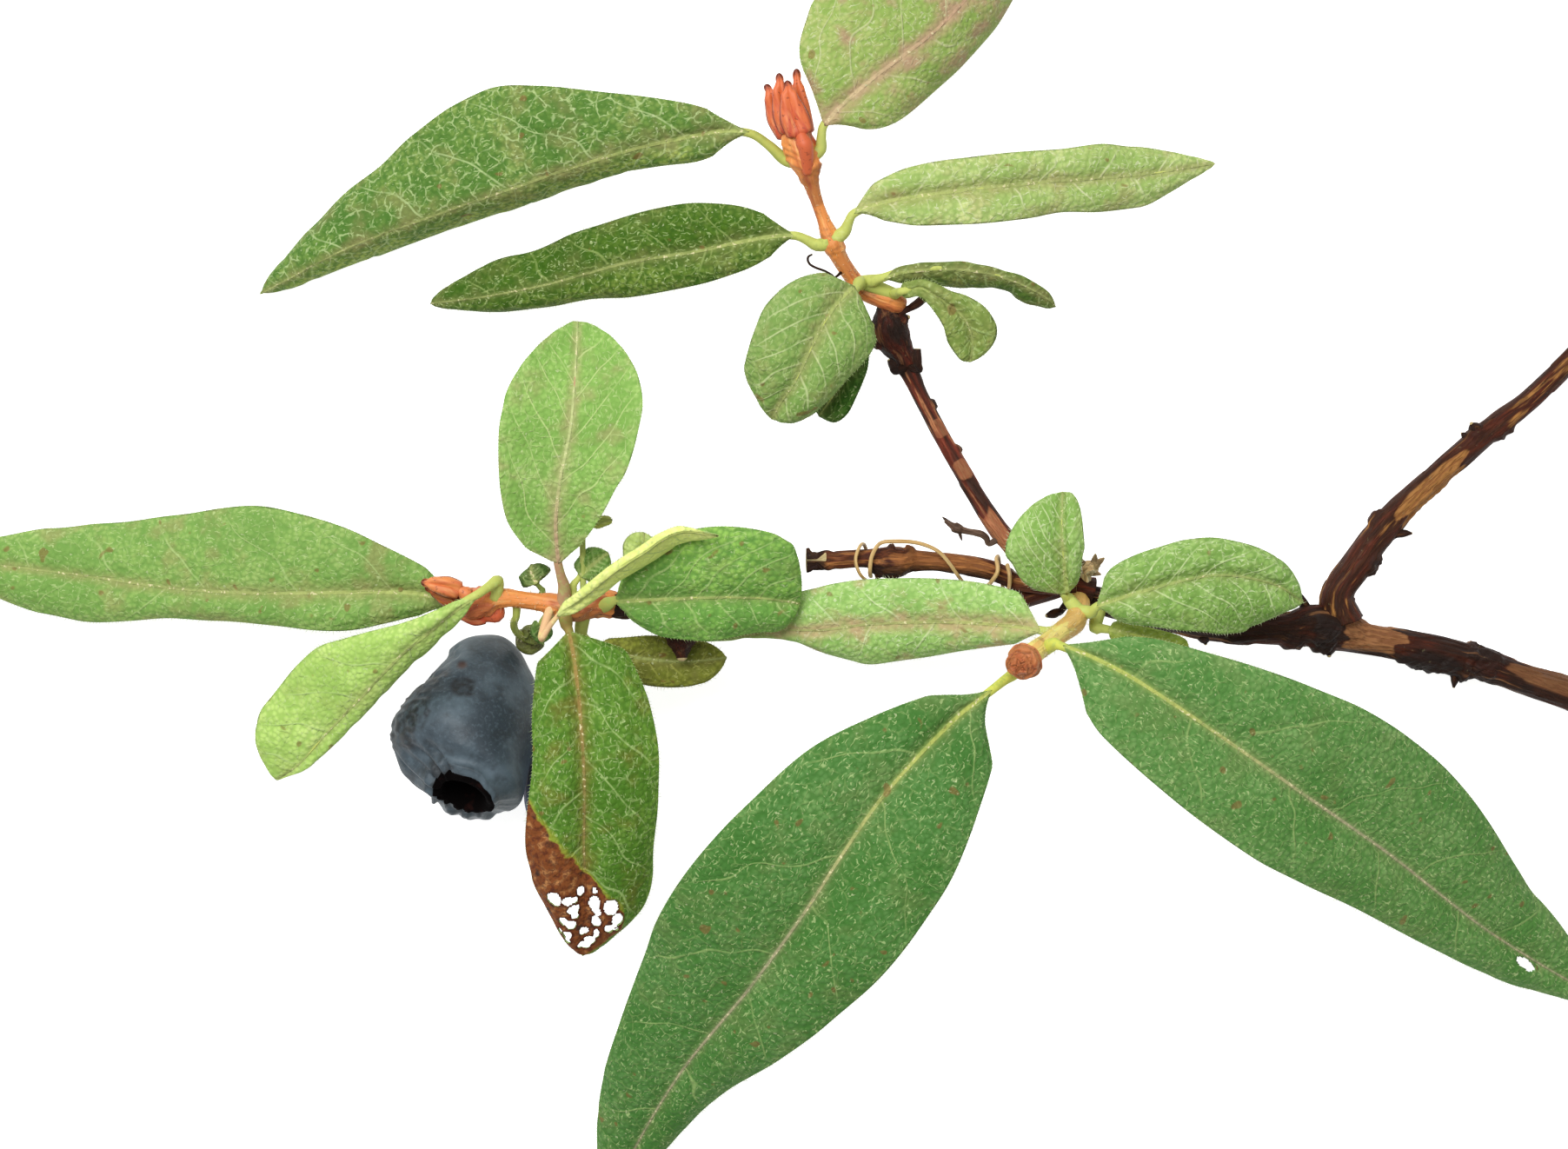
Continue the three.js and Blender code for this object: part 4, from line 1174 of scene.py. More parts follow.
@dataclass(frozen=True)
class BarkFinish:
    """Skin of a stem, streaked lengthwise by its fibres.

    Attributes:
        ground: Most of the bark.
        dark: Cracks, scars and old patches.
        lit: Worn ridges where the paler inner bark shows, made bright enough to be partly painted
            highlight.
        red: Warm inner bark.
        wood: Cut ends.
        worn: How much of it is worn pale, 0 to 1; the pale streaks are partly painted highlight.
        blotched: How much of it is dark, 0 to 1.
    """

    ground: str
    lit: str
    red: str
    dark: str = "#150c08"
    wood: str = "#cdb887"
    worn: float = 0.5
    blotched: float = 0.5

    def dress(self, name: str) -> bpy.types.Material:
        """The material."""
        paint = Paint(name, self.ground, roughness=0.6, specular=0.15)
        course = paint.attribute(GRAIN)[0]
        _, scar, worn, cut = paint.attribute(EDGE)
        # Broad warm and pale streaks about 0.8 mm wide, the pale ones partly painted highlight,
        # then fibres of 0.2 mm.
        paint.blotch(self.red, 0.8, 0.45, 0.62, 0.7, detail=3.0, at=course)
        low, drawn = 0.66 - 0.2 * self.worn, (1, 1, 1.4)
        paint.blotch(self.lit, 0.65, low, low + 0.1, 0.9, detail=4.0, at=course, stretch=drawn)
        fibre = paint.mask(paint.patches(0.2, 3.0, course), 0.42, 0.6)
        paint.coat(self.dark, fibre, 0.5)
        paint.raise_by(fibre, -0.06 * MM)
        # Dark patches 2 mm wide, then bared inner bark, darkening, grey dust and cut wood; the
        # bared bark is partly painted highlight on stems' upper sides, the darkening partly painted
        # shade on their lower sides.
        low = 0.72 - 0.26 * self.blotched
        paint.blotch(self.dark, 2.2 * MM, low, low + 0.16, 0.6, detail=3.0)
        # Pale where knobs wear it: worn bark, and painted highlight on a stem's upper side.
        paint.coat(self.lit, paint.mask(worn, 0.1, 0.9), 0.8)
        paint.coat(self.red, paint.mask(fibre, 0.3, 1.0, worn), 0.5)
        # Dark in the furrows between ridges, at scars, and as painted shade where knobs lie on a
        # stem's lower side.
        paint.coat(self.dark, scar, 0.85)
        paint.blotch("#8d8763", 0.5 * MM, 0.68, 0.76, 0.2)
        paint.coat(self.wood, paint.mask(cut, 0.1, 0.14), 0.95)
        paint.coat("#7d6238", paint.mask(cut, 0.9, 1.0), 0.8)
        return paint.done()


@dataclass(frozen=True)
class ShootFinish:
    """Thin skin of this year's growth: waxy, mottled, with fine dots.

    Attributes:
        ground: Most of the skin.
        warm: Redder patches.
        pale: Yellower patches.
        dark: Dots and bruises.
        dotted: How many dots it carries, 0 to 1.
    """

    ground: str
    warm: str
    pale: str
    dark: str = "#6b3a1d"
    dotted: float = 0.5

    def dress(self, name: str) -> bpy.types.Material:
        """The material."""
        paint = Paint(name, self.ground, roughness=0.5, specular=0.4)
        course = paint.attribute(GRAIN)[0]
        _, scar, warmed, _ = paint.attribute(EDGE)
        # Streaks about 0.7 mm wide along the shoot, and dots of 0.3 mm.
        paint.blotch(self.warm, 0.9, 0.45, 0.65, 0.8, detail=3.0, at=course)
        paint.blotch(self.pale, 0.7, 0.52, 0.7, 0.7, detail=3.0, at=course)
        paint.blotch(self.dark, 1.1 * MM, 0.56, 0.72, 0.45, detail=4.0)
        paint.coat(self.warm, paint.mask(warmed, 0.0, 1.0), 0.8)
        low = 0.76 - 0.12 * self.dotted
        paint.blotch(self.dark, 0.35 * MM, low, low + 0.06, 0.7, detail=1.0)
        paint.coat(self.dark, scar, 0.8)
        paint.raise_by(paint.mask(paint.patches(0.22, 3.0, course), 0.35, 0.65), 0.04 * MM)
        return paint.done()


@dataclass(frozen=True)
class Knob:
    """A swelling, scar or ledge on a stem; one with no height only paints the bark, as painted
    highlight or painted shade.

    Attributes:
        along: From the stem's base, in millimetres.
        towards: The way it faces, in the sprig's frame.
        height: How far it stands out, in millimetres.
        length: Half its length along the stem, in millimetres.
        narrow: How tightly it keeps to its side: 0 goes all round, 8 is a small bump.
        dark: How much it darkens the bark: scars, and painted shade where it lies on a stem's lower
            side.
        worn: How far the bark is worn to its paler inner layer; on a stem's upper side this is also
            painted highlight.
    """

    along: float
    towards: tuple[float, float, float]
    height: float
    length: float
    narrow: float
    dark: float = 0.0
    worn: float = 0.0


@dataclass(frozen=True)
class Spur:
    """A short dead stub or thorn on a stem.

    Attributes:
        along: From the stem's base, in millimetres.
        towards: The way it points.
        length: In millimetres.
        width: Radius at its foot, in millimetres.
    """

    along: float
    towards: tuple[float, float, float]
    length: float
    width: float


@dataclass
class Stem(Part):
    """One woody or green stem. Sizes are in millimetres.

    Attributes:
        finish: Its skin.
        slot: The record's material slot; not used.
        knobs: Its swellings.
        spurs: Its stubs.
        rough: Depth of its skin's ridges.
        reach: How deep its base sits in its parent, and how far its tip runs on.
        foot: How much wider it is inside its parent.
        seed: Picks its own pattern.
        around: Faces round it.
        step: Length of one row of faces.
        round_ends: Whether its ends are domed.
        flat: How much flatter than round it is.
        thin: Its thickness as a part of the node's.
        sliced: Length of the slanting cut that bares the wood at its tip.
        bristles: Hairs on each centimetre of it.
        bristle: Length of a hair.
        hair: Colour of its hairs.
    """

    FULL_BARK = 0.09  # ridges this deep, in millimetres, bring the bark's full lumps and cracks
    CUT_FACES = (-0.3, 0.1, 1.0)  # the way a slanting cut faces

    finish: BarkFinish | ShootFinish
    slot: Slot = Slot.BARK
    knobs: tuple[Knob, ...] = ()
    spurs: tuple[Spur, ...] = ()
    rough: float = 0.09
    reach: tuple[float, float] = (0.0, 0.0)
    seed: int = 1
    around: int = 48
    step: float = 0.2
    round_ends: bool = False
    flat: float = 0.0
    foot: float = 1.3
    thin: float = 1.0
    sliced: float = 0.0
    bristles: int = 0
    bristle: float = 0.5
    hair: str = "#e8dfb4"

    def build(self) -> bpy.types.Object:
        """Build the stem.

        Returns:
            The finished piece.
        """
        skin = RingSkin(self.node, self.parent)
        centres, radii = skin.centres(), skin.radii() * self.thin
        end = unit(centres[-1] - centres[-2])
        inside, beyond = self.reach
        if inside:
            centres = np.concatenate([[anchor(self.parent, skin.base, inside * MM)], centres])
            radii = np.concatenate([[radii[0] * self.foot], radii])
        if beyond:
            centres = np.concatenate([centres, [centres[-1] + end * (beyond * MM)]])
            radii = np.concatenate([radii, [radii[-1]]])
        travelled = lengths_along(centres)
        self._start = travelled[1] if inside else 0.0
        mesh = new_mesh(GRAIN, EDGE)
        add_tube(mesh, centres, radii, self.around, self.step * MM, self._swell, self.round_ends)
        for spur in self.spurs:
            at = spur.along * MM + self._start
            foot = np.array([np.interp(at, travelled, centres[:, i]) for i in range(3)])
            inner = float(np.interp(at, travelled, radii))
            outer = inner + spur.length * MM * np.array([0.1, 0.4, 0.7, 1.0])
            out = np.concatenate([inner * np.array([0.2, 0.9]), outer])
            sizes = spur.width * MM * np.array([1.2, 1.15, 1.0, 0.85, 0.65, 0.3])
            course = foot + unit(spur.towards) * out[:, None]
            add_tube(mesh, course, sizes, 16, 0.12 * MM, self._stub, True)
        materials = [self.finish.dress(f"{self.node}_skin")]
        if self.bristles:
            materials.append(HairFinish(self.hair).dress(f"{self.node}_hair"))
            self._add_bristles(mesh, centres, radii)
        return finish_piece(mesh, self.node, materials)

    def _add_bristles(
        self, mesh: bmesh.types.BMesh, centres: np.ndarray, radii: np.ndarray
    ) -> None:
        """Scatter short hairs over the skin.

        Args:
            mesh: The stem.
            centres: Its course.
            radii: Its radii along the course.
        """
        travelled, last = lengths_along(centres), len(centres) - 1
        count = round((travelled[-1] - self._start) / (10 * MM) * self.bristles)
        draws = np.random.default_rng(self.seed + 100)
        spots = draws.uniform(self._start, travelled[-1], count)
        index = np.interp(spots, travelled, np.arange(len(centres)))
        fine = np.linspace(0, last, 200)  # points at which the stem's directions are known
        ahead, across, over = frames_along(through(centres, fine))
        near = np.rint(index / last * (len(fine) - 1)).astype(int)
        angle = draws.uniform(0, 2 * math.pi, count)[:, None]
        out = across[near] * np.cos(angle) + over[near] * np.sin(angle)
        feet = through(centres, index) + out * through(radii, index)[:, None]
        add_hairs(mesh, feet, out + 0.3 * ahead[near], self.bristle, self.seed, 1)

    def _stub(self, at: TubePlaces) -> tuple[np.ndarray, np.ndarray]:
        """Rough dark skin of a stub."""
        spots = at.out * at.radius[:, None] + at.along[:, None] * 0.7
        rough = ripple(spots / MM, 0.35, self.seed + 31)
        return at.radius * (1.0 + 0.14 * rough), triple(0.6 + 0.0 * rough, 0.0, 0.0)

    def _swell(self, at: TubePlaces) -> tuple[np.ndarray, np.ndarray]:
        """Ridged bark with its knobs.

        Args:
            at: The tube's places.

        Returns:
            Each place's radius, how dark it is (partly painted shade) and how worn pale (partly
            painted highlight), and how far it is cut.
        """
        along = (at.along - self._start) / MM
        ring = at.out * (at.radius / MM)[:, None]

        def noise(turn: float, run: float, size: float, more: int) -> np.ndarray:
            """Noise that changes this fast round the stem and along it."""
            return ripple(ring * turn + along[:, None] * run, size, self.seed + more)

        ridges = noise(2.4, 0.16, 0.9, 0) + 0.6 * noise(2.4, 0.16, 0.45, 1)
        flakes = smoothstep(noise(0.9, 0.11, 0.8, 2), 0.05, 0.16)
        full = min(1.0, self.rough / self.FULL_BARK)
        radius = at.radius * (1.0 + 0.05 * full * noise(1.0, 0.5, 2.2, 4))
        radius = radius + self.rough * MM * (0.6 * ridges + 0.9 * flakes)
        radius = radius * (1.0 + self.flat * np.cos(2 * at.angle))
        dark = 0.35 * full * smoothstep(-ridges, 0.5, 1.1)
        worn, cut = np.zeros_like(dark), np.zeros_like(dark)
        # Knobs swell or sink the bark; their dark and worn marks are partly scars and wear, partly
        # painted shade on lower sides and painted highlight on upper ones.
        for knob in self.knobs:
            facing = np.clip(at.out @ unit(knob.towards), 0.0, 1.0) ** knob.narrow
            apart = np.abs(along - knob.along) / knob.length + 0.35 * noise(1.5, 0.0, 0.8, 7)
            close = (1.0 - smoothstep(apart, 0.55, 1.05)) * facing
            radius = radius + knob.height * MM * close * (1.0 + 0.5 * noise(2.0, 1.0, 0.7, 6))
            dark = np.maximum(dark, knob.dark * smoothstep(close, 0.15, 0.6))
            worn = np.maximum(worn, knob.worn * smoothstep(close, 0.3, 0.6))
        if self.sliced:
            # Past the start of the cut, the side it faces is planed down to the bare pith.
            past = (along - along.max()) / self.sliced + 1.0
            level = at.radius * np.clip(1.0 - 1.7 * past, -0.2, 1.0)
            facing = at.out @ unit(self.CUT_FACES)
            low = np.maximum(level, 0.12 * at.radius) / np.maximum(facing, 0.05)
            pith = smoothstep(facing + 0.25 * noise(1.0, 0.0, 0.6, 0), 0.62, 0.85)
            cut = np.where((past > 0.15) & (radius > low), 0.4 * pith, 0.0)
            radius = np.where(past > 0, np.minimum(radius, low), radius)
            torn = (1.0 + noise(2.0, 1.0, 0.7, 8)) * smoothstep(past, -0.3, 0.1)
            radius = radius + 0.12 * MM * torn * (cut == 0)
            dark = np.maximum(dark, smoothstep(past, 0.0, 0.3) * (1.0 - pith))
        return radius, triple(dark, worn, cut)


# ---- buds --------------------------------------------------------------------------------------


@dataclass(frozen=True)
class ScaleFinish:
    """Dry bud scale: thin, orange-red, ribbed lengthwise, darker at its tip and margins.

    Attributes:
        ground: Most of the scale.
        red: Its redder streaks.
        pale: Its worn paler streaks.
        dark: Its tip, its margins and its dots.
    """

    ground: str = "#d2683a"
    red: str = "#b8452a"
    pale: str = "#e59a62"
    dark: str = "#6e2b1c"

    def dress(self, name: str) -> bpy.types.Material:
        """The material."""
        paint = Paint(name, self.ground, roughness=0.5, specular=0.4)
        _, _, across, along = paint.attribute(BLADE)
        _, _, margin, reach = paint.attribute(EDGE)
        flat = paint.put("CombineXYZ", {0: across, 1: along})
        # Streaks 0.4 mm wide and a few millimetres long, and dots of 0.3 mm.
        streak = paint.patches(0.4, 3.0, flat, (1, 7, 1))
        paint.coat(self.red, paint.mask(streak, 0.42, 0.62), 0.75)
        paint.blotch(self.pale, 0.5, 0.52, 0.7, 0.7, detail=3.0, at=flat, stretch=(1, 6, 1))
        paint.blotch(self.dark, 0.4 * MM, 0.6, 0.7, 0.6)
        paint.coat(self.dark, paint.mask(margin, 0.3, 0.05), 0.8)
        paint.coat(self.dark, paint.mask(reach, 0.82, 1.0), 0.55)
        paint.coat(self.red, paint.mask(reach, 0.3, 0.0), 0.5)
        paint.raise_by(streak, 0.08 * MM)
        return paint.done()


@dataclass
class BudScale(Leaf):
    """A thick ribbed bud scale; several of them close into one bud.

    Attributes:
        finish: Its colours.
    """

    RIB_WIDTH = 0.42  # from one lengthwise rib to the next

    finish: ScaleFinish
    grid: float = 0.12
    thickness: float = 0.6
    stalk: float = 0.55
    reach_in: float = 0.9
    roundness: float = 1.0
    widen: float = 1.45

    def _relief(
        self, surface: np.ndarray, facts: np.ndarray, edge: np.ndarray
    ) -> tuple[np.ndarray, np.ndarray]:
        """Raise lengthwise ribs and a keel.

        Args:
            surface: Places by row and column.
            facts: Side-vein number, distance across and distance along.
            edge: Distance from the midrib, distance from the margin and part of the length.

        Returns:
            Heights in metres, and the direction away from the upper face.
        """
        over = unit(np.cross(np.gradient(surface, axis=1), np.gradient(surface, axis=0)))
        _, across, along = np.moveaxis(facts, -1, 0)
        _, margin, part = np.moveaxis(edge, -1, 0)
        ribs = np.cos(across * 2 * math.pi / self.RIB_WIDTH + self.seed)
        bumps = ripple(triple(across, along / 2.5, self.seed), 0.5, self.seed)
        height = (0.03 * ribs + 0.06 * bumps + 0.25 * smoothstep(margin, 0.0, 0.7)) * MM
        return height * smoothstep(margin, 0.0, 0.2) * smoothstep(part, 0.0, 0.1), over

    def _add_rib(self, mesh: bmesh.types.BMesh, blade: Blade) -> None:
        """Add the short foot that joins it to the shoot."""
        skin = blade.skin
        start = anchor(self.parent, skin.base, self.reach_in * MM)
        course = np.array([start, skin.base, skin.rings[1].mean(0), skin.rings[2].mean(0)])
        radii = self.stalk * MM * np.array([1.0, 1.35, 1.45, 1.1])
        made = add_tube(mesh, course, radii, 24, 0.15 * MM, round_ends=True)[0]
        mark(mesh, made, edge=np.tile([0.0, 1.0, 0.2], (len(made), 1)))

    def _finish(
        self, mesh: bmesh.types.BMesh, surface: np.ndarray, spacing: float
    ) -> bpy.types.Object:
        """Dress the mesh in one material; a scale has bare margins."""
        for face in mesh.faces:
            face.material_index = 0
        return finish_piece(mesh, self.node, [self.finish.dress(f"{self.node}_skin")])


@dataclass
class RoundBud(Part):
    """A plump bud of many short scales that overlap like tiles. Sizes are in millimetres.

    Attributes:
        finish: Its scales' colours.
        slot: The record's material slot; not used.
        lift: How far each scale's tip stands up.
        foot: Radius of the neck that joins it to its parent.
        seed: Picks its own pattern.
    """

    TILES, TIERS = 5, 4.2  # scales round it, and tiers from foot to tip
    AROUND, ROWS = 96, 90  # faces of its mesh

    finish: ShootFinish
    slot: Slot = Slot.BUD
    lift: float = 0.22
    foot: float = 0.65
    seed: int = 1

    def build(self) -> bpy.types.Object:
        """Build the bud.

        Returns:
            The finished piece.
        """
        skin = RingSkin(self.node, self.parent)
        count = skin.rings.shape[1]
        ends = [np.repeat(end[None, None], count, axis=1) for end in (skin.base, skin.tip)]
        rings = np.concatenate([ends[0], skin.rings, ends[1]])
        wrapped = np.concatenate([rings[:, -1:], rings, rings[:, :2]], axis=1)
        rows = through(wrapped, np.linspace(0, len(rings) - 1, self.ROWS + 1))
        turned = np.linspace(0, count, self.AROUND + 1) + 1
        places = through(rows.transpose(1, 0, 2), turned).transpose(1, 0, 2)
        mesh = new_mesh(GRAIN, EDGE)
        made, column, row = grid(mesh, self.AROUND, self.ROWS)
        u, v = column / self.AROUND, row / self.ROWS
        spots = places[row, column]
        out = unit(spots - rings.reshape(-1, 3).mean(0))
        # Tiers of scales from foot to tip, each turned by half a scale against the last.
        tier = v * self.TIERS + 0.12 * ripple(spots / MM, 1.1, self.seed)
        turn = u * self.TILES + np.where(np.floor(tier) % 2, 0.5, 0.0)
        level = tier + 0.35 * (np.abs(turn - np.floor(turn) - 0.5) * 2) ** 2
        step = level - np.floor(level)
        height = self.lift * smoothstep(step, 0.0, 0.85) * (1 - smoothstep(step, 0.88, 1.0))
        height = height * smoothstep(v, 0.0, 0.15) * (1 - smoothstep(v, 0.9, 1.0))
        height = height + 0.1 * ripple(spots / MM, 0.7, self.seed + 1)
        lay(made, spots + out * (height * MM)[:, None])
        seam = np.maximum(smoothstep(step, 0.9, 1.0), 1 - smoothstep(step, 0.0, 0.1))
        mark(mesh, made, grain=triple(u * 8, turn, v * 6), edge=triple(seam * 0.7, v, 0.0))
        bmesh.ops.remove_doubles(mesh, verts=mesh.verts, dist=2 * WELD)
        bmesh.ops.recalc_face_normals(mesh, faces=mesh.faces)
        centre = skin.centres().mean(axis=0)
        foot = np.linspace(anchor(self.parent, skin.base, 0.5 * MM), centre, 5)
        add_tube(mesh, foot, self.foot * MM * np.array([1.3, 1.1, 1.0, 1.0, 0.8]), 24, 0.15 * MM)
        return finish_piece(mesh, self.node, [self.finish.dress(f"{self.node}_skin")])


# ---- berries -----------------------------------------------------------------------------------


@dataclass(frozen=True)
class BerryFinish:
    """Ripe blue honeysuckle skin under its waxy bloom.

    Attributes:
        bloom: Skin under a full coat of wax.
        skin: Skin where the wax is thin.
        dark: Skin where the wax is rubbed off.
        flesh_in_shade: The torn mouth's inside: dark dried pulp, painted near-black as the shade
            inside the opening.
    """

    bloom: str = "#56656e"
    skin: str = "#2c363d"
    dark: str = "#141719"
    flesh_in_shade: str = "#070505"

    def dress(self, name: str) -> bpy.types.Material:
        """The material."""
        paint = Paint(name, self.skin, roughness=0.5, specular=0.3)
        _, rubbed, scar, inside = paint.attribute(EDGE)
        # Wax lies in soft clouds a few millimetres wide and in a fine dust.
        paint.blotch(self.bloom, 5 * MM, 0.36, 0.68, 0.8, detail=4.0)
        paint.blotch(self.bloom, 0.35 * MM, 0.5, 0.7, 0.35)
        paint.blotch(self.dark, 1.6 * MM, 0.52, 0.7, 0.4, detail=4.0)
        patchy = paint.mask(paint.patches(0.9 * MM, 4.0), 0.35, 0.6, least=0.35)
        paint.coat(self.dark, paint.mask(rubbed, 0.0, 1.0, patchy), 0.95)
        paint.coat("#3d2318", scar, 0.9)
        # Painted shade: the mouth's inside is near-black.
        paint.coat(self.flesh_in_shade, inside)
        paint.raise_by(paint.patches(0.5 * MM, 3.0), 0.05 * MM)
        return paint.done()

    def dress_inside(self, name: str) -> bpy.types.Material:
        """Dried pulp in the mouth, nearly black as painted shade inside the opening; matt and
        without wax.
        """
        paint = Paint(name, self.flesh_in_shade, roughness=0.95, specular=0.03)
        paint.blotch("#2a1512", 1.2 * MM, 0.55, 0.75, 0.5, detail=3.0)
        return paint.done()


@dataclass(frozen=True)
class SkinMark:
    """A marked place on a berry.

    Attributes:
        towards: Direction from the berry's middle, in the sprig's frame.
        size: Radius in millimetres.
        rubbed: How much wax is gone there.
        scar: How brown it is.
        depth: How deep it is sunk, in millimetres.
        wrinkle: Height of its wrinkles, in millimetres.
    """

    towards: tuple[float, float, float]
    size: float
    rubbed: float = 0.0
    scar: float = 0.0
    depth: float = 0.0
    wrinkle: float = 0.0


@dataclass
class Berry(Part):
    """A berry whose far end turns in to a torn mouth. Sizes are in millimetres.

    Attributes:
        finish: Its skin.
        inner_rings: Rings of the node that belong to the mouth's inside.
        marks: Its marked places.
        teeth: Height of the mouth's torn edge.
        purse: How far the mouth is drawn in, as a part of its radius.
        gape: How far the mouth's upper edge is drawn back.
        lean: How far the mouth lies off the berry's axis.
        seed: Picks its own pattern.
    """

    AROUND, ROWS = 160, 190  # faces of its mesh
    MOUTH_TOP = (-0.35, 0.2, 0.9)  # the side of the mouth that is drawn back
    MOUTH_TORN = (-0.6, -0.7, 0.3)  # the side with the longest tatters

    finish: BerryFinish
    inner_rings: int
    marks: tuple[SkinMark, ...] = ()
    teeth: float = 0.7
    purse: float = 0.0
    gape: float = 0.0
    lean: tuple[float, float, float] = (0.0, 0.0, 0.0)
    seed: int = 1

    def build(self) -> bpy.types.Object:
        """Build the berry.

        Returns:
            The finished piece.
        """
        skin = RingSkin(self.node, self.parent)
        centres = np.concatenate([[skin.base], skin.centres(), [skin.tip]])
        radii = np.concatenate([[0.0], skin.radii(), [0.0]])
        ahead = unit(centres[4] - centres[1])
        fine = np.linspace(0, len(radii) - 1, 900)
        profile = np.stack([through(centres @ ahead, fine), through(radii, fine)], -1)
        travelled = lengths_along(profile)
        index = np.interp(np.linspace(0, travelled[-1], self.ROWS + 1), travelled, fine)
        line, size = through(centres, index), np.maximum(through(radii, index), 0.0)
        across = unit(np.cross(ahead, [0.0, 0.0, 1.0]))
        over = np.cross(across, ahead)
        mesh = new_mesh(GRAIN, EDGE)
        made, column, row = grid(mesh, self.AROUND, self.ROWS)
        angle = column / self.AROUND * 2 * math.pi
        out = across * np.cos(angle)[:, None] + over * np.sin(angle)[:, None]
        spots = line[row] + out * size[row][:, None]
        rim = len(radii) - 1.0 - self.inner_rings
        past = index[row] - rim
        middle = centres[: int(rim)].mean(axis=0)
        swell, rubbed, scar = self._weather(spots, middle)
        swell = swell * (1.0 - smoothstep(past, -0.1, 0.25))
        shift = self._tear(past, size[row], out, ahead)
        lay(made, spots + unit(spots - middle) * (swell * MM)[:, None] + shift)
        inside = smoothstep(past, 0.45, 1.0)
        rubbed = np.maximum(rubbed, 0.5 * bump_at(past, 0.0, 0.4))
        mark(mesh, made, edge=triple(rubbed, scar, inside))
        bmesh.ops.remove_doubles(mesh, verts=mesh.verts, dist=WELD)
        bmesh.ops.recalc_face_normals(mesh, faces=mesh.faces)
        layer = mesh.verts.layers.float_vector[EDGE]
        mouth = {vert for vert in mesh.verts if vert[layer].z > 0.3}
        for face in mesh.faces:
            face.material_index = int(mouth.issuperset(face.verts))
        outer = self.finish.dress(f"{self.node}_skin")
        inner = self.finish.dress_inside(f"{self.node}_mouth")
        return finish_piece(mesh, self.node, [outer, inner])

    def _weather(
        self, spots: np.ndarray, middle: np.ndarray
    ) -> tuple[np.ndarray, np.ndarray, np.ndarray]:
        """Swell and dent the plain form, and mark its skin.

        Args:
            spots: Places on the plain form.
            middle: The middle of the berry.

        Returns:
            How far each place moves out in millimetres, how rubbed it is and how scarred.
        """
        flat = spots / MM
        swell = 0.28 * ripple(flat, 4.5, self.seed) + 0.1 * ripple(flat, 1.9, self.seed + 1)
        rubbed, scar = np.zeros(len(spots)), np.zeros(len(spots))
        away, reach = unit(spots - middle), np.linalg.norm(spots - middle, axis=1) / MM
        for spot in self.marks:
            apart = np.linalg.norm(away - unit(spot.towards), axis=1) * reach
            apart = apart + 0.35 * spot.size * ripple(flat, 0.9, self.seed + 2)
            near = 1.0 - smoothstep(apart, 0.5 * spot.size, 1.15 * spot.size)
            rubbed = np.maximum(rubbed, near * spot.rubbed)
            scar = np.maximum(scar, near * spot.scar)
            folds = 1.0 - np.abs(ripple(flat * [1.0, 1.6, 1.0], 1.1, self.seed + 3)) * 2.0
            swell = swell - near * spot.depth + near * spot.wrinkle * folds
        return swell, rubbed, scar

    def _tear(
        self, past: np.ndarray, size: np.ndarray, out: np.ndarray, ahead: np.ndarray
    ) -> np.ndarray:
        """Draw the mouth in, lean it over and tear its edge.

        Args:
            past: How many rings each place lies past the mouth's edge.
            size: Plain radius at each.
            out: Direction out from the axis at each.
            ahead: Direction of the axis.

        Returns:
            How far each place moves.
        """
        tear = ripple(out * 3.1 + self.seed, 0.6, self.seed + 5)
        tear = tear + 0.35 * ripple(out * 3.1, 0.21, self.seed + 6)
        torn = 0.3 + 4.2 * np.clip(out @ unit(self.MOUTH_TORN), 0.0, 1.0)
        top = np.clip(out @ unit(self.MOUTH_TOP), 0.0, 1.0)
        forward = self.teeth * bump_at(past, 0.0, 1.6) * tear * torn
        forward = forward - self.gape * bump_at(past, 0.0, 2.6) * top
        inward = self.purse * size * smoothstep(past, -1.3, 0.0)
        lean = np.array(self.lean) * smoothstep(past, -0.9, 0.2)[:, None]
        return ahead * (forward * MM)[:, None] - out * inward[:, None] + lean * MM


# ---- stage -------------------------------------------------------------------------------------


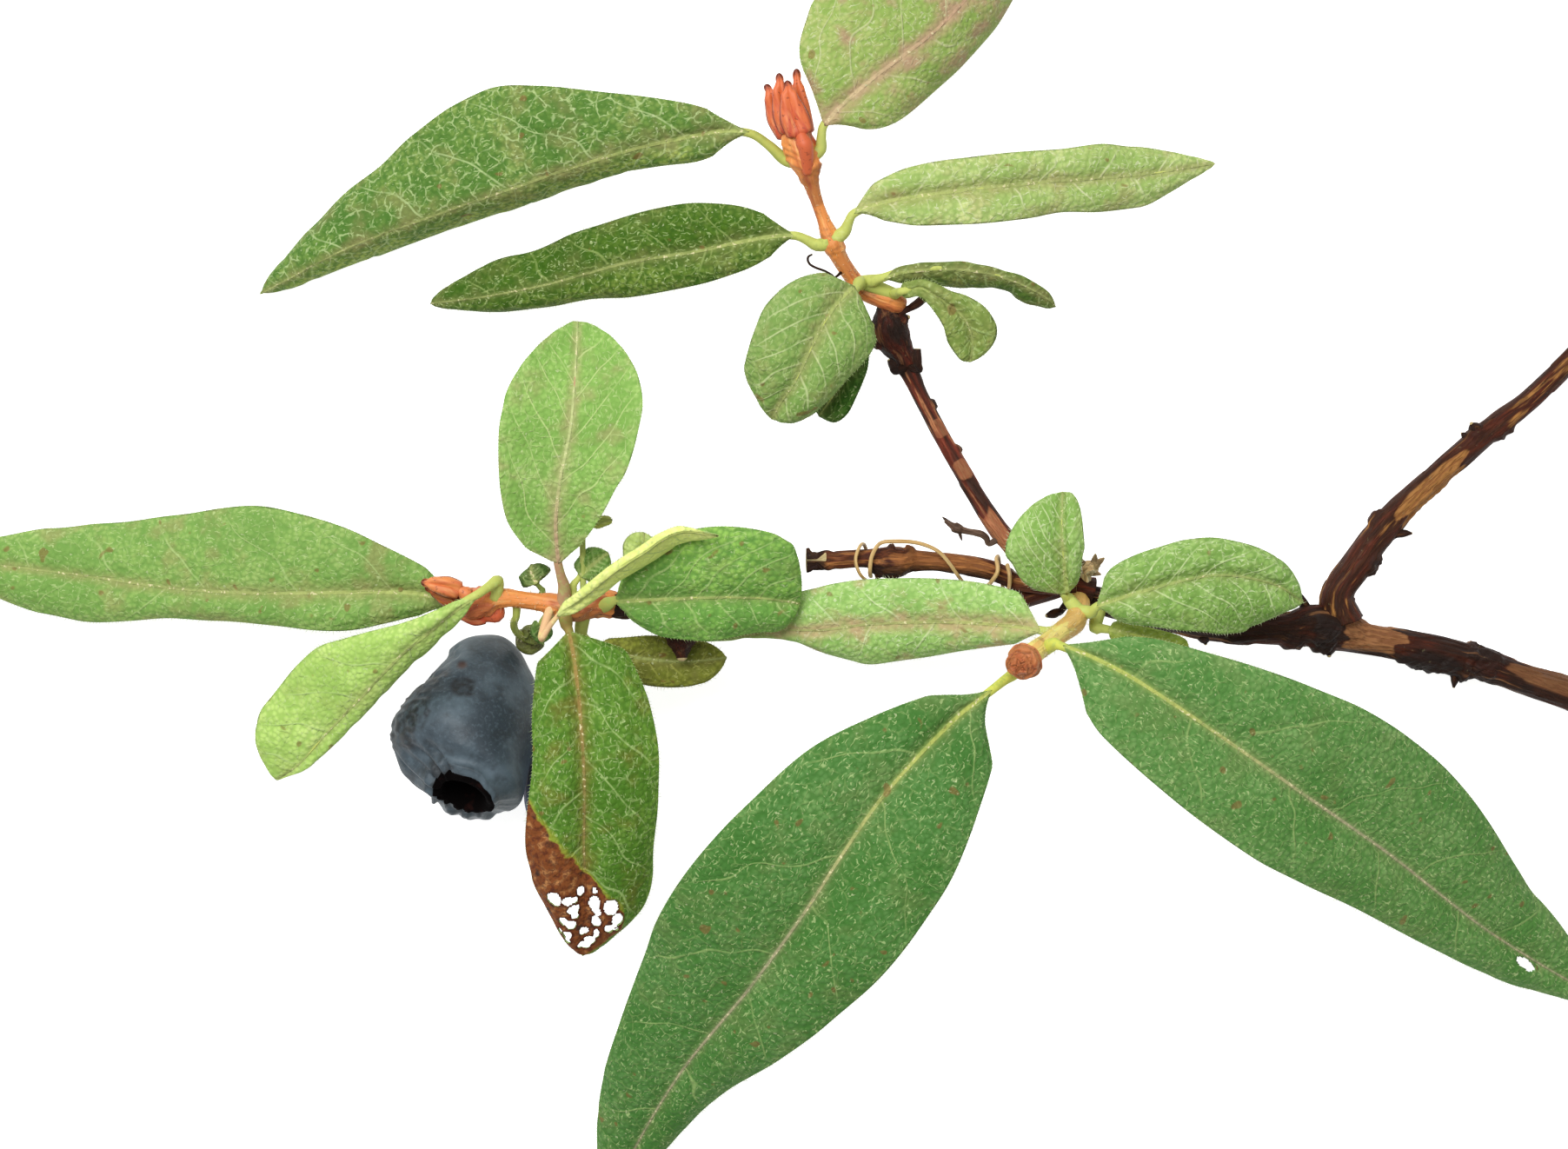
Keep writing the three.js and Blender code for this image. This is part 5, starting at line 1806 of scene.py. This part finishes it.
@dataclass
class Stage:
    """A plain white table, soft daylight from above and the camera over the sprig.

    Attributes:
        height: Of the camera above the table, in metres.
        over: The camera's place over the table.
        lens: Focal length in millimetres on a 36 mm sensor.
        sky: Strength of the even light from all round.
        window: Place, side in metres and watts of the square window lamp.
        glow: How much the table is lifted towards white.
        drop: How far the table top lies under the lowest leaves, in metres.
    """

    height: float = 0.6
    over: tuple[float, float] = (-0.00009, -0.0027)
    lens: float = 138.05
    sky: float = 0.46
    window: tuple[tuple[float, float, float], float, float] = ((-0.2, 0.3, 0.7), 0.45, 5.8)
    glow: float = 0.8
    drop: float = 0.0004

    def build(self) -> None:
        """Make the table, the sky, the lamp and the camera."""
        scene = bpy.context.scene
        scene.view_settings.view_transform = "Standard"
        self._table()
        self._light()
        data = bpy.data.cameras.new("camera")
        data.lens, data.clip_start = self.lens, 0.01
        scene.camera = self._place("camera", data, (*self.over, self.height))

    @staticmethod
    def _place(name: str, data: bpy.types.ID, at: tuple[float, float, float]) -> bpy.types.Object:
        """Put an object with this data somewhere in the scene."""
        thing = bpy.data.objects.new(name, data)
        thing.location = at
        bpy.context.scene.collection.objects.link(thing)
        return thing

    @staticmethod
    def _seen(tree: bpy.types.NodeTree) -> bpy.types.NodeSocket:
        """1 for rays from the camera and mirrored ones, 0 for the rest."""
        rays = add(tree, "LightPath", {}).outputs
        pair = {0: rays["Is Camera Ray"], 1: rays["Is Glossy Ray"]}
        return add(tree, "Math", pair, operation="MAXIMUM").outputs[0]

    def _table(self) -> bpy.types.Object:
        """A white table top that shows the sprig's soft shadow."""
        mesh = bmesh.new()
        bmesh.ops.create_grid(mesh, x_segments=1, y_segments=1, size=3.0)
        data = bpy.data.meshes.new("table_top")
        mesh.to_mesh(data)
        mesh.free()
        paint = Paint("white_table", "#e6e6e6", roughness=0.9, specular=0.0)
        paint.done()
        data.materials.append(paint.material)
        glow = add(paint.tree, "Emission", {"Color": (1, 1, 1, 1), "Strength": self.glow})
        both = add(paint.tree, "AddShader", {0: paint.shader.outputs[0], 1: glow.outputs[0]})
        seen = self._seen(paint.tree)
        mixed = add(
            paint.tree, "MixShader", {0: seen, 1: paint.shader.outputs[0], 2: both.outputs[0]}
        )
        end = paint.tree.nodes["Material Output"].inputs["Surface"]
        paint.tree.links.new(mixed.outputs[0], end)
        return self._place("table_top", data, (0.0, 0.0, -self.drop))

    def _light(self) -> None:
        """Even light from all round, white where the camera sees it, and a window's."""
        world = bpy.data.worlds.new("sky")
        bpy.context.scene.world = world
        world.use_nodes = True
        tree = world.node_tree
        ground = tree.nodes["Background"].inputs
        ground["Color"].default_value = (1.0, 1.0, 1.0, 1.0)
        strength = add(tree, "MapRange", {0: self._seen(tree), 3: self.sky, 4: 1.0})
        tree.links.new(strength.outputs[0], ground["Strength"])
        place, size, watts = self.window
        data = bpy.data.lights.new("window", "AREA")
        data.energy, data.size = watts, size
        lamp = self._place("window", data, place)
        lamp.rotation_euler = (-Vector(place)).to_track_quat("-Z", "Y").to_euler()


# ---- the sprig ---------------------------------------------------------------------------------

WEATHERED = BarkFinish("#2c1509", lit="#a06e46", red="#4f200f", worn=0.4, blotched=0.65)
FORK_BARK = BarkFinish("#3c1f0f", lit="#ac7840", red="#5c2614", worn=0.45)
UPPER_BARK = BarkFinish("#381f14", lit="#b87a52", red="#8a3a27", worn=0.45, blotched=0.55)
STUB_BARK = BarkFinish("#5f321b", lit="#b07340", red="#53241c", worn=0.65)
LOWER_BARK = BarkFinish("#4a2416", lit="#7c4c2e", red="#5c2614", worn=0.35, blotched=0.6)
SHADED_BARK = BarkFinish("#2a170e", lit="#54371f", red="#3f1d12", worn=0.35, blotched=0.8)
BROWN_TWIG = BarkFinish("#3a1d12", lit="#633f29", red="#4f2216")
GREY_TWIG = BarkFinish("#6e5748", lit="#9c8870", red="#6a4836", worn=0.4)
# Painted light: the old scales are coloured near cream-white to counter the shade of the leaf over
# them.
OLD_SCALES_PAINTED_LIGHT = BarkFinish("#f4d09c", lit="#ffeecb", red="#d79c66", worn=0.8, blotched=0.2)
ORANGE_SHOOT = ShootFinish("#dd8a44", warm="#a9452a", pale="#f2b870")
PALE_SHOOT = ShootFinish("#e8d578", warm="#d8a65a", pale="#ebec8c", dotted=0.2)
GREEN_STALK = ShootFinish("#aab852", warm="#989e46", pale="#cdd884", dotted=0.3)
TENDRIL_SKIN = ShootFinish("#cba970", warm="#b08746", pale="#dcc48c", dark="#7d5a30")
CENTRE_BUD = ShootFinish("#d48f52", warm="#ab562a", pale="#f2bd82", dark="#5a2c17")
GREEN_CUP = ShootFinish("#6f7a35", warm="#5e5a2b", pale="#96a055", dark="#40331b")

TWIGLET = {"slot": Slot.DEAD_WOOD, "around": 24, "step": 0.12}  # what the small dry twigs share
YOUNG = {"slot": Slot.SHOOT, "round_ends": True}

STEMS = (
    Stem(
        "main_stem", None, WEATHERED, seed=1, around=88, step=0.16, rough=0.13,
        knobs=(
            Knob(17.6, (0.0, 0.1, 1.0), 0.3, 1.5, 0.4, 0.55),
            Knob(19.3, (0.0, 0.0, 1.0), 0.25, 0.4, 0.0, 0.35),
            Knob(22.9, (0.0, -1.0, 0.2), 0.5, 3.8, 0.8, 0.95),
            # Shallow, worn pale and facing up: partly worn bark, partly painted highlight on the
            # stem's top.
            Knob(29.7, (0.0, 0.4, 0.9), -0.15, 3.6, 0.5, worn=0.85),
            Knob(34.8, (-0.1, -0.5, 0.8), 0.7, 1.5, 1.5, 0.9),
            Knob(38.0, (-0.2, -1.0, 0.3), 0.6, 1.0, 2.0, 0.5),
            # Shallow, worn pale and facing up: partly worn bark, partly painted highlight on the
            # stem's top.
            Knob(10.0, (0.0, 0.8, 0.6), -0.08, 5.5, 0.8, worn=0.5),
            Knob(43.0, (0.0, -1.0, 0.0), 0.2, 1.4, 2.0, 0.5),
        ),
        spurs=(
            Spur(20.4, (-0.1, -1.0, -0.1), 1.5, 0.55), Spur(34.2, (0.1, -1.0, 0.3), 0.7, 0.8),
            Spur(35.6, (-0.4, 1.0, 0.2), 1.3, 0.5), Spur(46.8, (0.2, -1.0, 0.0), 0.5, 0.6),
        ),
    ),
    Stem(
        "fork_branch", "main_stem", FORK_BARK, seed=2, around=72, step=0.16, rough=0.11,
        reach=(1.2, 0.0),
        knobs=(
            Knob(4.5, (1.0, -0.6, 0.2), 0.45, 1.2, 2.0, 0.4),
            Knob(8.2, (-1.0, 0.8, 0.3), 0.4, 1.0, 3.0, 0.2),
            # Shallow, worn pale and facing up: partly worn bark, partly painted highlight on the
            # branch's top.
            Knob(14.0, (0.6, -0.5, 0.8), -0.2, 5.6, 0.5, worn=0.9),
            Knob(23.8, (0.7, -0.7, 0.1), 0.35, 1.6, 2.0, 0.3),
            Knob(21.2, (-0.5, 0.7, 0.6), 0.3, 0.9, 2.0, 0.3),
        ),
        spurs=(
            Spur(7.4, (1.0, 0.0, 0.1), 1.6, 0.5), Spur(21.5, (-0.55, 0.7, 0.5), 0.75, 0.75),
            Spur(20.6, (-0.8, 0.6, 0.3), 0.5, 0.4),
        ),
    ),
    Stem(
        "upper_twig", "main_stem", UPPER_BARK, seed=3, around=64, step=0.15, rough=0.1,
        reach=(1.5, 0.0),
        knobs=(
            # No height: painted highlight along the twig's upper side.
            Knob(4.5, (-0.4, -0.3, 1.0), 0.0, 5.0, 0.8, worn=0.7),
            Knob(13.5, (0.2, 0.0, 1.0), 0.1, 1.3, 2.0, worn=0.6),
            Knob(15.6, (0.9, 0.4, 0.0), 0.25, 0.5, 3.0, 0.5),
            Knob(18.2, (0.2, 0.0, 1.0), 0.1, 1.2, 2.0, worn=0.5),
            Knob(20.6, (0.9, 0.4, 0.0), 0.3, 0.5, 3.0, 0.5),
            Knob(29.5, (0.0, 0.0, 1.0), 0.15, 6.5, 0.0, 0.75),
        ),
        spurs=(Spur(28.0, (-1.0, -0.2, 0.1), 0.7, 0.8), Spur(29.6, (0.9, 0.3, 0.3), 0.5, 0.8)),
    ),
    Stem(
        "cut_stub", "main_stem", STUB_BARK, seed=4, around=64, step=0.15, reach=(2.5, 0.0),
        sliced=2.2,
        knobs=(
            Knob(11.2, (0.0, 1.0, 0.4), 0.35, 0.6, 3.0, 0.3),
            Knob(13.2, (0.0, 1.0, 0.3), 0.3, 0.5, 3.0, 0.3),
            Knob(13.4, (0.0, -1.0, 0.2), 0.35, 1.8, 1.2, 0.95),
            # These two have no height: the first is painted highlight on the stub's upper side, the
            # second painted shade on its lower side.
            Knob(8.0, (0.0, 0.3, 1.0), 0.0, 6.0, 0.6, worn=0.6),
            Knob(8.0, (0.0, -1.0, 0.0), 0.0, 9.0, 1.2, 0.7),
            Knob(21.4, (0.0, 0.0, 1.0), 0.25, 0.5, 0.0, 0.5),
        ),
        spurs=(Spur(13.6, (-0.5, -1.0, 0.1), 0.7, 0.5),),
    ),
    Stem(
        "lower_twig", "main_stem", LOWER_BARK, seed=5, around=56, reach=(2.5, 0.8), foot=1.0,
        knobs=(Knob(39.3, (0.0, 0.0, 1.0), 0.2, 1.2, 0.0, 0.8),),
        spurs=(Spur(33.6, (0.05, -1.0, 0.05), 3.6, 2.0),),
    ),
    Stem(
        "dead_twiglet", "upper_twig", GREY_TWIG, seed=6, rough=0.025, reach=(1.2, 0.0), thin=0.8,
        knobs=(Knob(3.9, (0.0, 0.0, 1.0), 0.12, 0.5, 0.0, 0.4),),
        spurs=(Spur(3.7, (0.3, -1.0, 0.0), 0.8, 0.2), Spur(4.4, (-1.0, 0.9, 0.1), 0.9, 0.22)),
        **TWIGLET,
    ),
    Stem(
        "brown_twiglet", "upper_twig", BROWN_TWIG, seed=7, rough=0.04, reach=(1.2, 0.0), **TWIGLET
    ),
    Stem(
        "upper_spur_right", "upper_twig", SHADED_BARK, seed=8, rough=0.07, reach=(0.7, 0.0),
        **TWIGLET,
    ),
    Stem(
        "upper_spur_left", "upper_twig", SHADED_BARK, seed=9, rough=0.07, reach=(0.6, 0.0),
        **TWIGLET,
    ),
    Stem("dead_stub", "main_stem", SHADED_BARK, seed=10, rough=0.05, reach=(0.9, 0.0), **TWIGLET),
    Stem(
        "old_bud_scales", "main_stem", OLD_SCALES_PAINTED_LIGHT, seed=11, around=40, step=0.1, rough=0.16,
        reach=(1.0, 0.0),
        spurs=(
            Spur(0.9, (0.7, 0.6, 0.4), 0.8, 0.35), Spur(0.6, (-0.8, 0.8, 0.3), 0.8, 0.3),
            Spur(1.1, (0.1, 1.0, 0.5), 0.7, 0.35), Spur(0.3, (0.9, -0.2, 0.5), 0.7, 0.3),
        ),
    ),
    Stem(
        "dried_curl", "upper_shoot", SHADED_BARK, Slot.DEAD_WOOD, seed=12, around=14, step=0.1,
        rough=0.02, reach=(0.6, 0.0), round_ends=True, thin=0.65,
    ),
    Stem(
        "tendril", "cut_stub", TENDRIL_SKIN, Slot.TENDRIL, seed=13, around=16, step=0.14,
        rough=0.02, round_ends=True, flat=0.14, thin=0.78,
    ),
    Stem(
        "upper_shoot", "upper_twig", ORANGE_SHOOT, seed=14, around=56, step=0.15, rough=0.035,
        reach=(1.6, 2.4), bristles=110, **YOUNG,
        knobs=(
            Knob(5.6, (0.0, 0.0, 1.0), 0.15, 0.7, 0.0, 0.15),
            Knob(13.0, (0.0, 0.0, 1.0), 0.12, 0.9, 0.0, 0.2),
            Knob(15.8, (0.0, 0.0, 1.0), 0.5, 2.8, 0.0),
            Knob(11.6, (0.5, 0.0, 0.8), 0.03, 2.0, 0.4, 0.6),
            Knob(3.4, (0.3, 0.0, 0.8), 0.02, 1.6, 0.4, 0.4),
        ),
    ),
    Stem(
        "left_shoot", "lower_twig", ORANGE_SHOOT, seed=15, around=56, step=0.15, rough=0.05,
        reach=(0.8, 1.5), bristles=150, bristle=0.7, **YOUNG,
        knobs=(
            Knob(3.0, (0.0, -0.2, 1.0), 0.12, 2.0, 0.0, 0.2),
            Knob(1.2, (0.0, 0.0, 1.0), 0.22, 2.0, 0.0, 0.45),
            Knob(12.0, (0.0, 0.0, 1.0), 0.4, 2.2, 0.0, worn=0.6),
        ),
    ),
    Stem(
        "centre_shoot", "main_stem", PALE_SHOOT, seed=16, step=0.18, rough=0.04,
        reach=(1.5, 0.0), bristles=150, bristle=0.6, **YOUNG,
        knobs=(
            Knob(2.0, (0.0, 0.0, 1.0), 0.1, 5.8, 0.0, worn=1.0),
            Knob(9.0, (0.3, -0.8, 0.4), 0.1, 1.0, 1.0, worn=0.7),
        ),
    ),
    Stem(
        "berry_stalk", "left_shoot", GREEN_STALK, Slot.STALK, seed=17, around=24, step=0.12,
        rough=0.02, reach=(0.9, 0.8), bristles=60,
    ),
)

PALE_LEAF = LeafFinish("#98bc66", "#7aa24b", "#b4d084", vein="#cfe0a4", hair="#dbe6b8")
# Its left half carries painted light, paler than the rest of the blade.
DEEP_LEAF = LeafFinish("#4c6d1d", "#365a12", "#7a8d49", vein="#8ea35c", left="#7c9440", net=0.5)
LOWER_LEAF = LeafFinish(
    "#6a9350", "#4c7d38", "#86ab68", vein="#93ad68", rib_base="#c0c665", rib_tip="#b3a787",
    stalk="#cdd25c", blush="#8f8a5c",
)
# Its left half carries painted light, much paler than the rest of the blade.
HALF_LIT_LEAF = LeafFinish(
    "#6a8b3e", "#48702a", "#98a95e", vein="#b4c98a", stalk="#b3b75a", blushed=0.3, net=0.65,
    left="#b9cc66",
)
ROSY_LEAF = LeafFinish(
    "#a6b56a", "#88a550", "#c3c488", vein="#c2c794", rib_base="#d3bd92", rib_tip="#c4a183",
    blush="#b08f74", blushed=0.85, hair="#d2d6ac",
)
BRIGHT_LEAF = LeafFinish(
    "#b3c67a", "#90ad5b", "#d0d590", vein="#dbe0b0", blushed=0.4, hair="#dfe4bc"
)
HANGING_LEAF = LeafFinish("#8ba65a", "#6f9246", "#a8b778", vein="#c3d096", blushed=0.35)
UPRIGHT_LEAF = LeafFinish(
    "#93bb60", "#78a34b", "#b3cf7c", vein="#c2d58c", rib_base="#bf9a80", rib_tip="#c6cf8e",
    stalk="#b58f6c", blush="#b08a74", blushed=0.35, spots=0.2,
)
LIT_THROUGH_LEAF = LeafFinish("#f0fb94", "#dceb80", "#f6f8a8", stalk="#e0b688", under="#e8f290")
DYING_LEAF = LeafFinish(
    "#648c33", "#46701f", "#83a548", rib_base="#a9864e", rib_tip="#8f7a48", stalk="#9a8648",
    blush="#8a5a35", blushed=0.3, net=0.35, dead=Blight(0.713, 0.036, 3.9, 0.0234),
)
OLIVE_LEAF = LeafFinish("#8d9736", "#646a26", "#abae4c", vein="#a3a650", hair="#b0b268", spots=0.6)
NARROW_LEAF = LeafFinish(
    "#a6cb74", "#86b05a", "#c2dd92", vein="#d6e6ae", blush="#bfa27c", blushed=0.8, hair="#e2edc2"
)

# The holes in the dead end of the front leaf, from where it dies back to its tip.
EATEN_END = (
    Hole(0.786, 3.2, 0.84, 0.68), Hole(0.794, 1.9, 0.52, 0.55), Hole(0.795, 1.1, 0.39, 0.26),
    Hole(0.770, 0.5, 0.62, 0.42), Hole(0.827, 1.3, 0.49, 0.68), Hole(0.851, 1.1, 0.29, 0.39),
    Hole(0.867, 2.3, 0.45, 0.45), Hole(0.878, 1.5, 0.52, 0.49), Hole(0.907, 2.6, 0.36, 0.29),
    Hole(0.915, 1.8, 0.52, 0.49), Hole(0.939, 1.7, 0.26, 0.36), Hole(0.772, -0.9, 0.36, 0.28),
    Hole(0.813, -0.9, 0.89, 0.58), Hole(0.843, -1.3, 0.45, 0.29), Hole(0.872, -1.1, 0.62, 0.55),
    Hole(0.907, 0.1, 0.45, 0.45), Hole(0.914, -1.2, 0.52, 0.32), Hole(0.939, -0.6, 0.49, 0.55),
    Hole(0.958, 0.0, 0.42, 0.62), Hole(0.824, -2.5, 0.89, 0.68), Hole(0.869, -3.2, 0.84, 0.55),
    Hole(0.898, -2.4, 0.49, 0.45), Hole(0.907, -3.2, 0.24, 0.24),
)

LEAVES = (
    Leaf("leaf_upper_left", "upper_shoot", HALF_LIT_LEAF),
    Leaf("leaf_top_right", "upper_shoot", ROSY_LEAF, roundness=1.6),
    Leaf("leaf_second_left", "upper_shoot", DEEP_LEAF, roundness=1.7),
    Leaf("leaf_second_right", "upper_shoot", BRIGHT_LEAF, roundness=1.2),
    Leaf(
        "leaf_rolled", "upper_shoot",
        LeafFinish("#6a7f39", "#4a6827", "#8f9a52", blushed=0.3), roundness=1.8,
    ),
    Leaf(
        "leaf_spoon", "upper_shoot", LeafFinish("#879a4e", "#6c853a", "#a5b168"), roundness=2.0
    ),
    Leaf("leaf_hanging", "upper_shoot", HANGING_LEAF, slant=1.0, roundness=2.2),
    Leaf(
        "leaf_hanging_behind", "upper_twig",
        LeafFinish("#3f6a20", "#2b5011", "#5f8a3a", vein="#7d9a50"), slant=1.0, roundness=2.2,
    ),
    Leaf("leaf_far_left", "left_shoot", LeafFinish("#8bae5a", "#6d9646", "#a9c272", blushed=0.4)),
    Leaf("leaf_folded", "left_shoot", LeafFinish("#bada76", "#98bd5a", "#d2e68c"), roundness=2.2),
    Leaf("leaf_upright", "left_shoot", UPRIGHT_LEAF, slant=1.3, roundness=1.8),
    Leaf(
        "leaf_behind_right", "left_shoot",
        LeafFinish("#6a9144", "#4f7a30", "#8cab5e"), stalk=0.32, widen=1.4,
    ),
    Leaf(
        "leaf_behind_left", "left_shoot",
        LeafFinish("#3c6424", "#2c4f18", "#587c38", stalk="#6d7d3a"), stalk=0.26, widen=1.3,
    ),
    Leaf("leaf_under_shoot", "left_shoot", LeafFinish("#5f8a3d", "#46732b", "#7fa458")),
    Leaf(
        "leaf_edge_on", "left_shoot", LIT_THROUGH_LEAF,
        stalk=0.3, widen=1.5, roundness=1.1, pucker=0.03, wave=0.1,
    ),
    Leaf(
        "leaf_oval", "lower_twig",
        # Its left, upper half carries painted light: lime where the rolled margin catches the
        # light.
        LeafFinish("#76a64a", "#5c8b3d", "#98c362", left="#95c258", net=0.2), roundness=2.1,
    ),
    Leaf("leaf_front", "left_shoot", DYING_LEAF, roundness=1.8, grid=0.15, holes=EATEN_END),
    Leaf("leaf_under_front", "left_shoot", OLIVE_LEAF, roundness=2.0),
    Leaf(
        "leaf_tip_behind_oval", "lower_twig",
        LeafFinish("#cbe083", "#b0c86a", "#dcea9c"), roundness=2.0,
    ),
    Leaf(
        "leaf_scrap", "left_shoot",
        LeafFinish("#c9cf70", "#b2ba5e", "#d8dc8c", stalk="#a8b462"), roundness=2.0, stalk=0.22,
    ),
    Leaf("leaf_narrow", "centre_shoot", NARROW_LEAF, roundness=1.2),
    Leaf("leaf_small_up", "centre_shoot", PALE_LEAF, slant=1.6, roundness=1.5, wave=0.1),
    Leaf(
        "leaf_right", "centre_shoot",
        replace(PALE_LEAF, blade="#8fb35e", shade="#6f9645"), slant=1.2, roundness=2.0,
    ),
    Leaf(
        "leaf_lower_right", "centre_shoot", LOWER_LEAF,
        slant=0.35, curl=0.07, holes=(Hole(0.835, 0.8, 1.3, 0.5),),
    ),
    Leaf(
        "leaf_lower_left", "centre_shoot",
        replace(LOWER_LEAF, blade="#568343", shade="#3e6f2c", light="#759c58"),
        slant=0.35, curl=0.07,
    ),
    Leaf(
        "leaf_partly_hidden", "main_stem",
        LeafFinish("#92ab42", "#7c9434", "#aebf5c"), roundness=1.6,
    ),
)

UPPER_SCALE = ScaleFinish("#d46c3c", red="#b5432e")
LEFT_SCALES = (
    ScaleFinish("#df8a4e", red="#c8623c"),
    ScaleFinish("#b2571f", red="#8f3f18", pale="#cf8a48"),
    ScaleFinish(),
)

BUDS = (
    *(BudScale(f"upper_bud_scale_{i}", "upper_shoot", UPPER_SCALE, seed=i) for i in range(1, 5)),
    *(
        BudScale(f"left_bud_scale_{i}", "left_shoot", finish, seed=i + 4)
        for i, finish in enumerate(LEFT_SCALES, 1)
    ),
    RoundBud("centre_bud", "centre_shoot", CENTRE_BUD),
    RoundBud("berry_cup", "berry_stalk", GREEN_CUP, Slot.STALK, lift=0.12, foot=0.35, seed=2),
)

BERRIES = (
    Berry(
        "berry_large", "berry_cup", BerryFinish(), inner_rings=5, seed=1, gape=1.1, purse=0.22,
        lean=(-0.3, 0.6, 1.4),
        marks=(
            SkinMark((-0.12, -1.0, 0.0), 3.6, depth=-0.8),
            SkinMark((-0.75, -0.1, 0.5), 4.6, rubbed=1.0, wrinkle=0.16),
            SkinMark((-0.3, -0.7, 0.6), 3.2, rubbed=0.8, wrinkle=0.12),
            SkinMark((-0.8, 0.55, 0.1), 3.8, depth=0.5),
            SkinMark((-0.3, 0.85, 0.85), 0.8, rubbed=0.3, scar=1.0, depth=0.15),
            SkinMark((-0.18, 0.3, 1.0), 1.4, rubbed=1.0, depth=0.2),
        ),
    ),
    Berry(
        "berry_small", "left_shoot", BerryFinish(bloom="#7d84a6", skin="#565c7f"),
        inner_rings=3, seed=2, teeth=0.3,
    ),
)


def main() -> None:
    """Build the stage and every piece in order."""
    logging.basicConfig(level=logging.INFO, format="%(name)s: %(message)s")
    Stage().build()
    for stem in STEMS:
        stem.build()
    for number, leaf in enumerate(LEAVES, 1):
        replace(leaf, seed=number).build()
    for piece in (*BUDS, *BERRIES):
        piece.build()


if __name__ == "__main__":
    main()
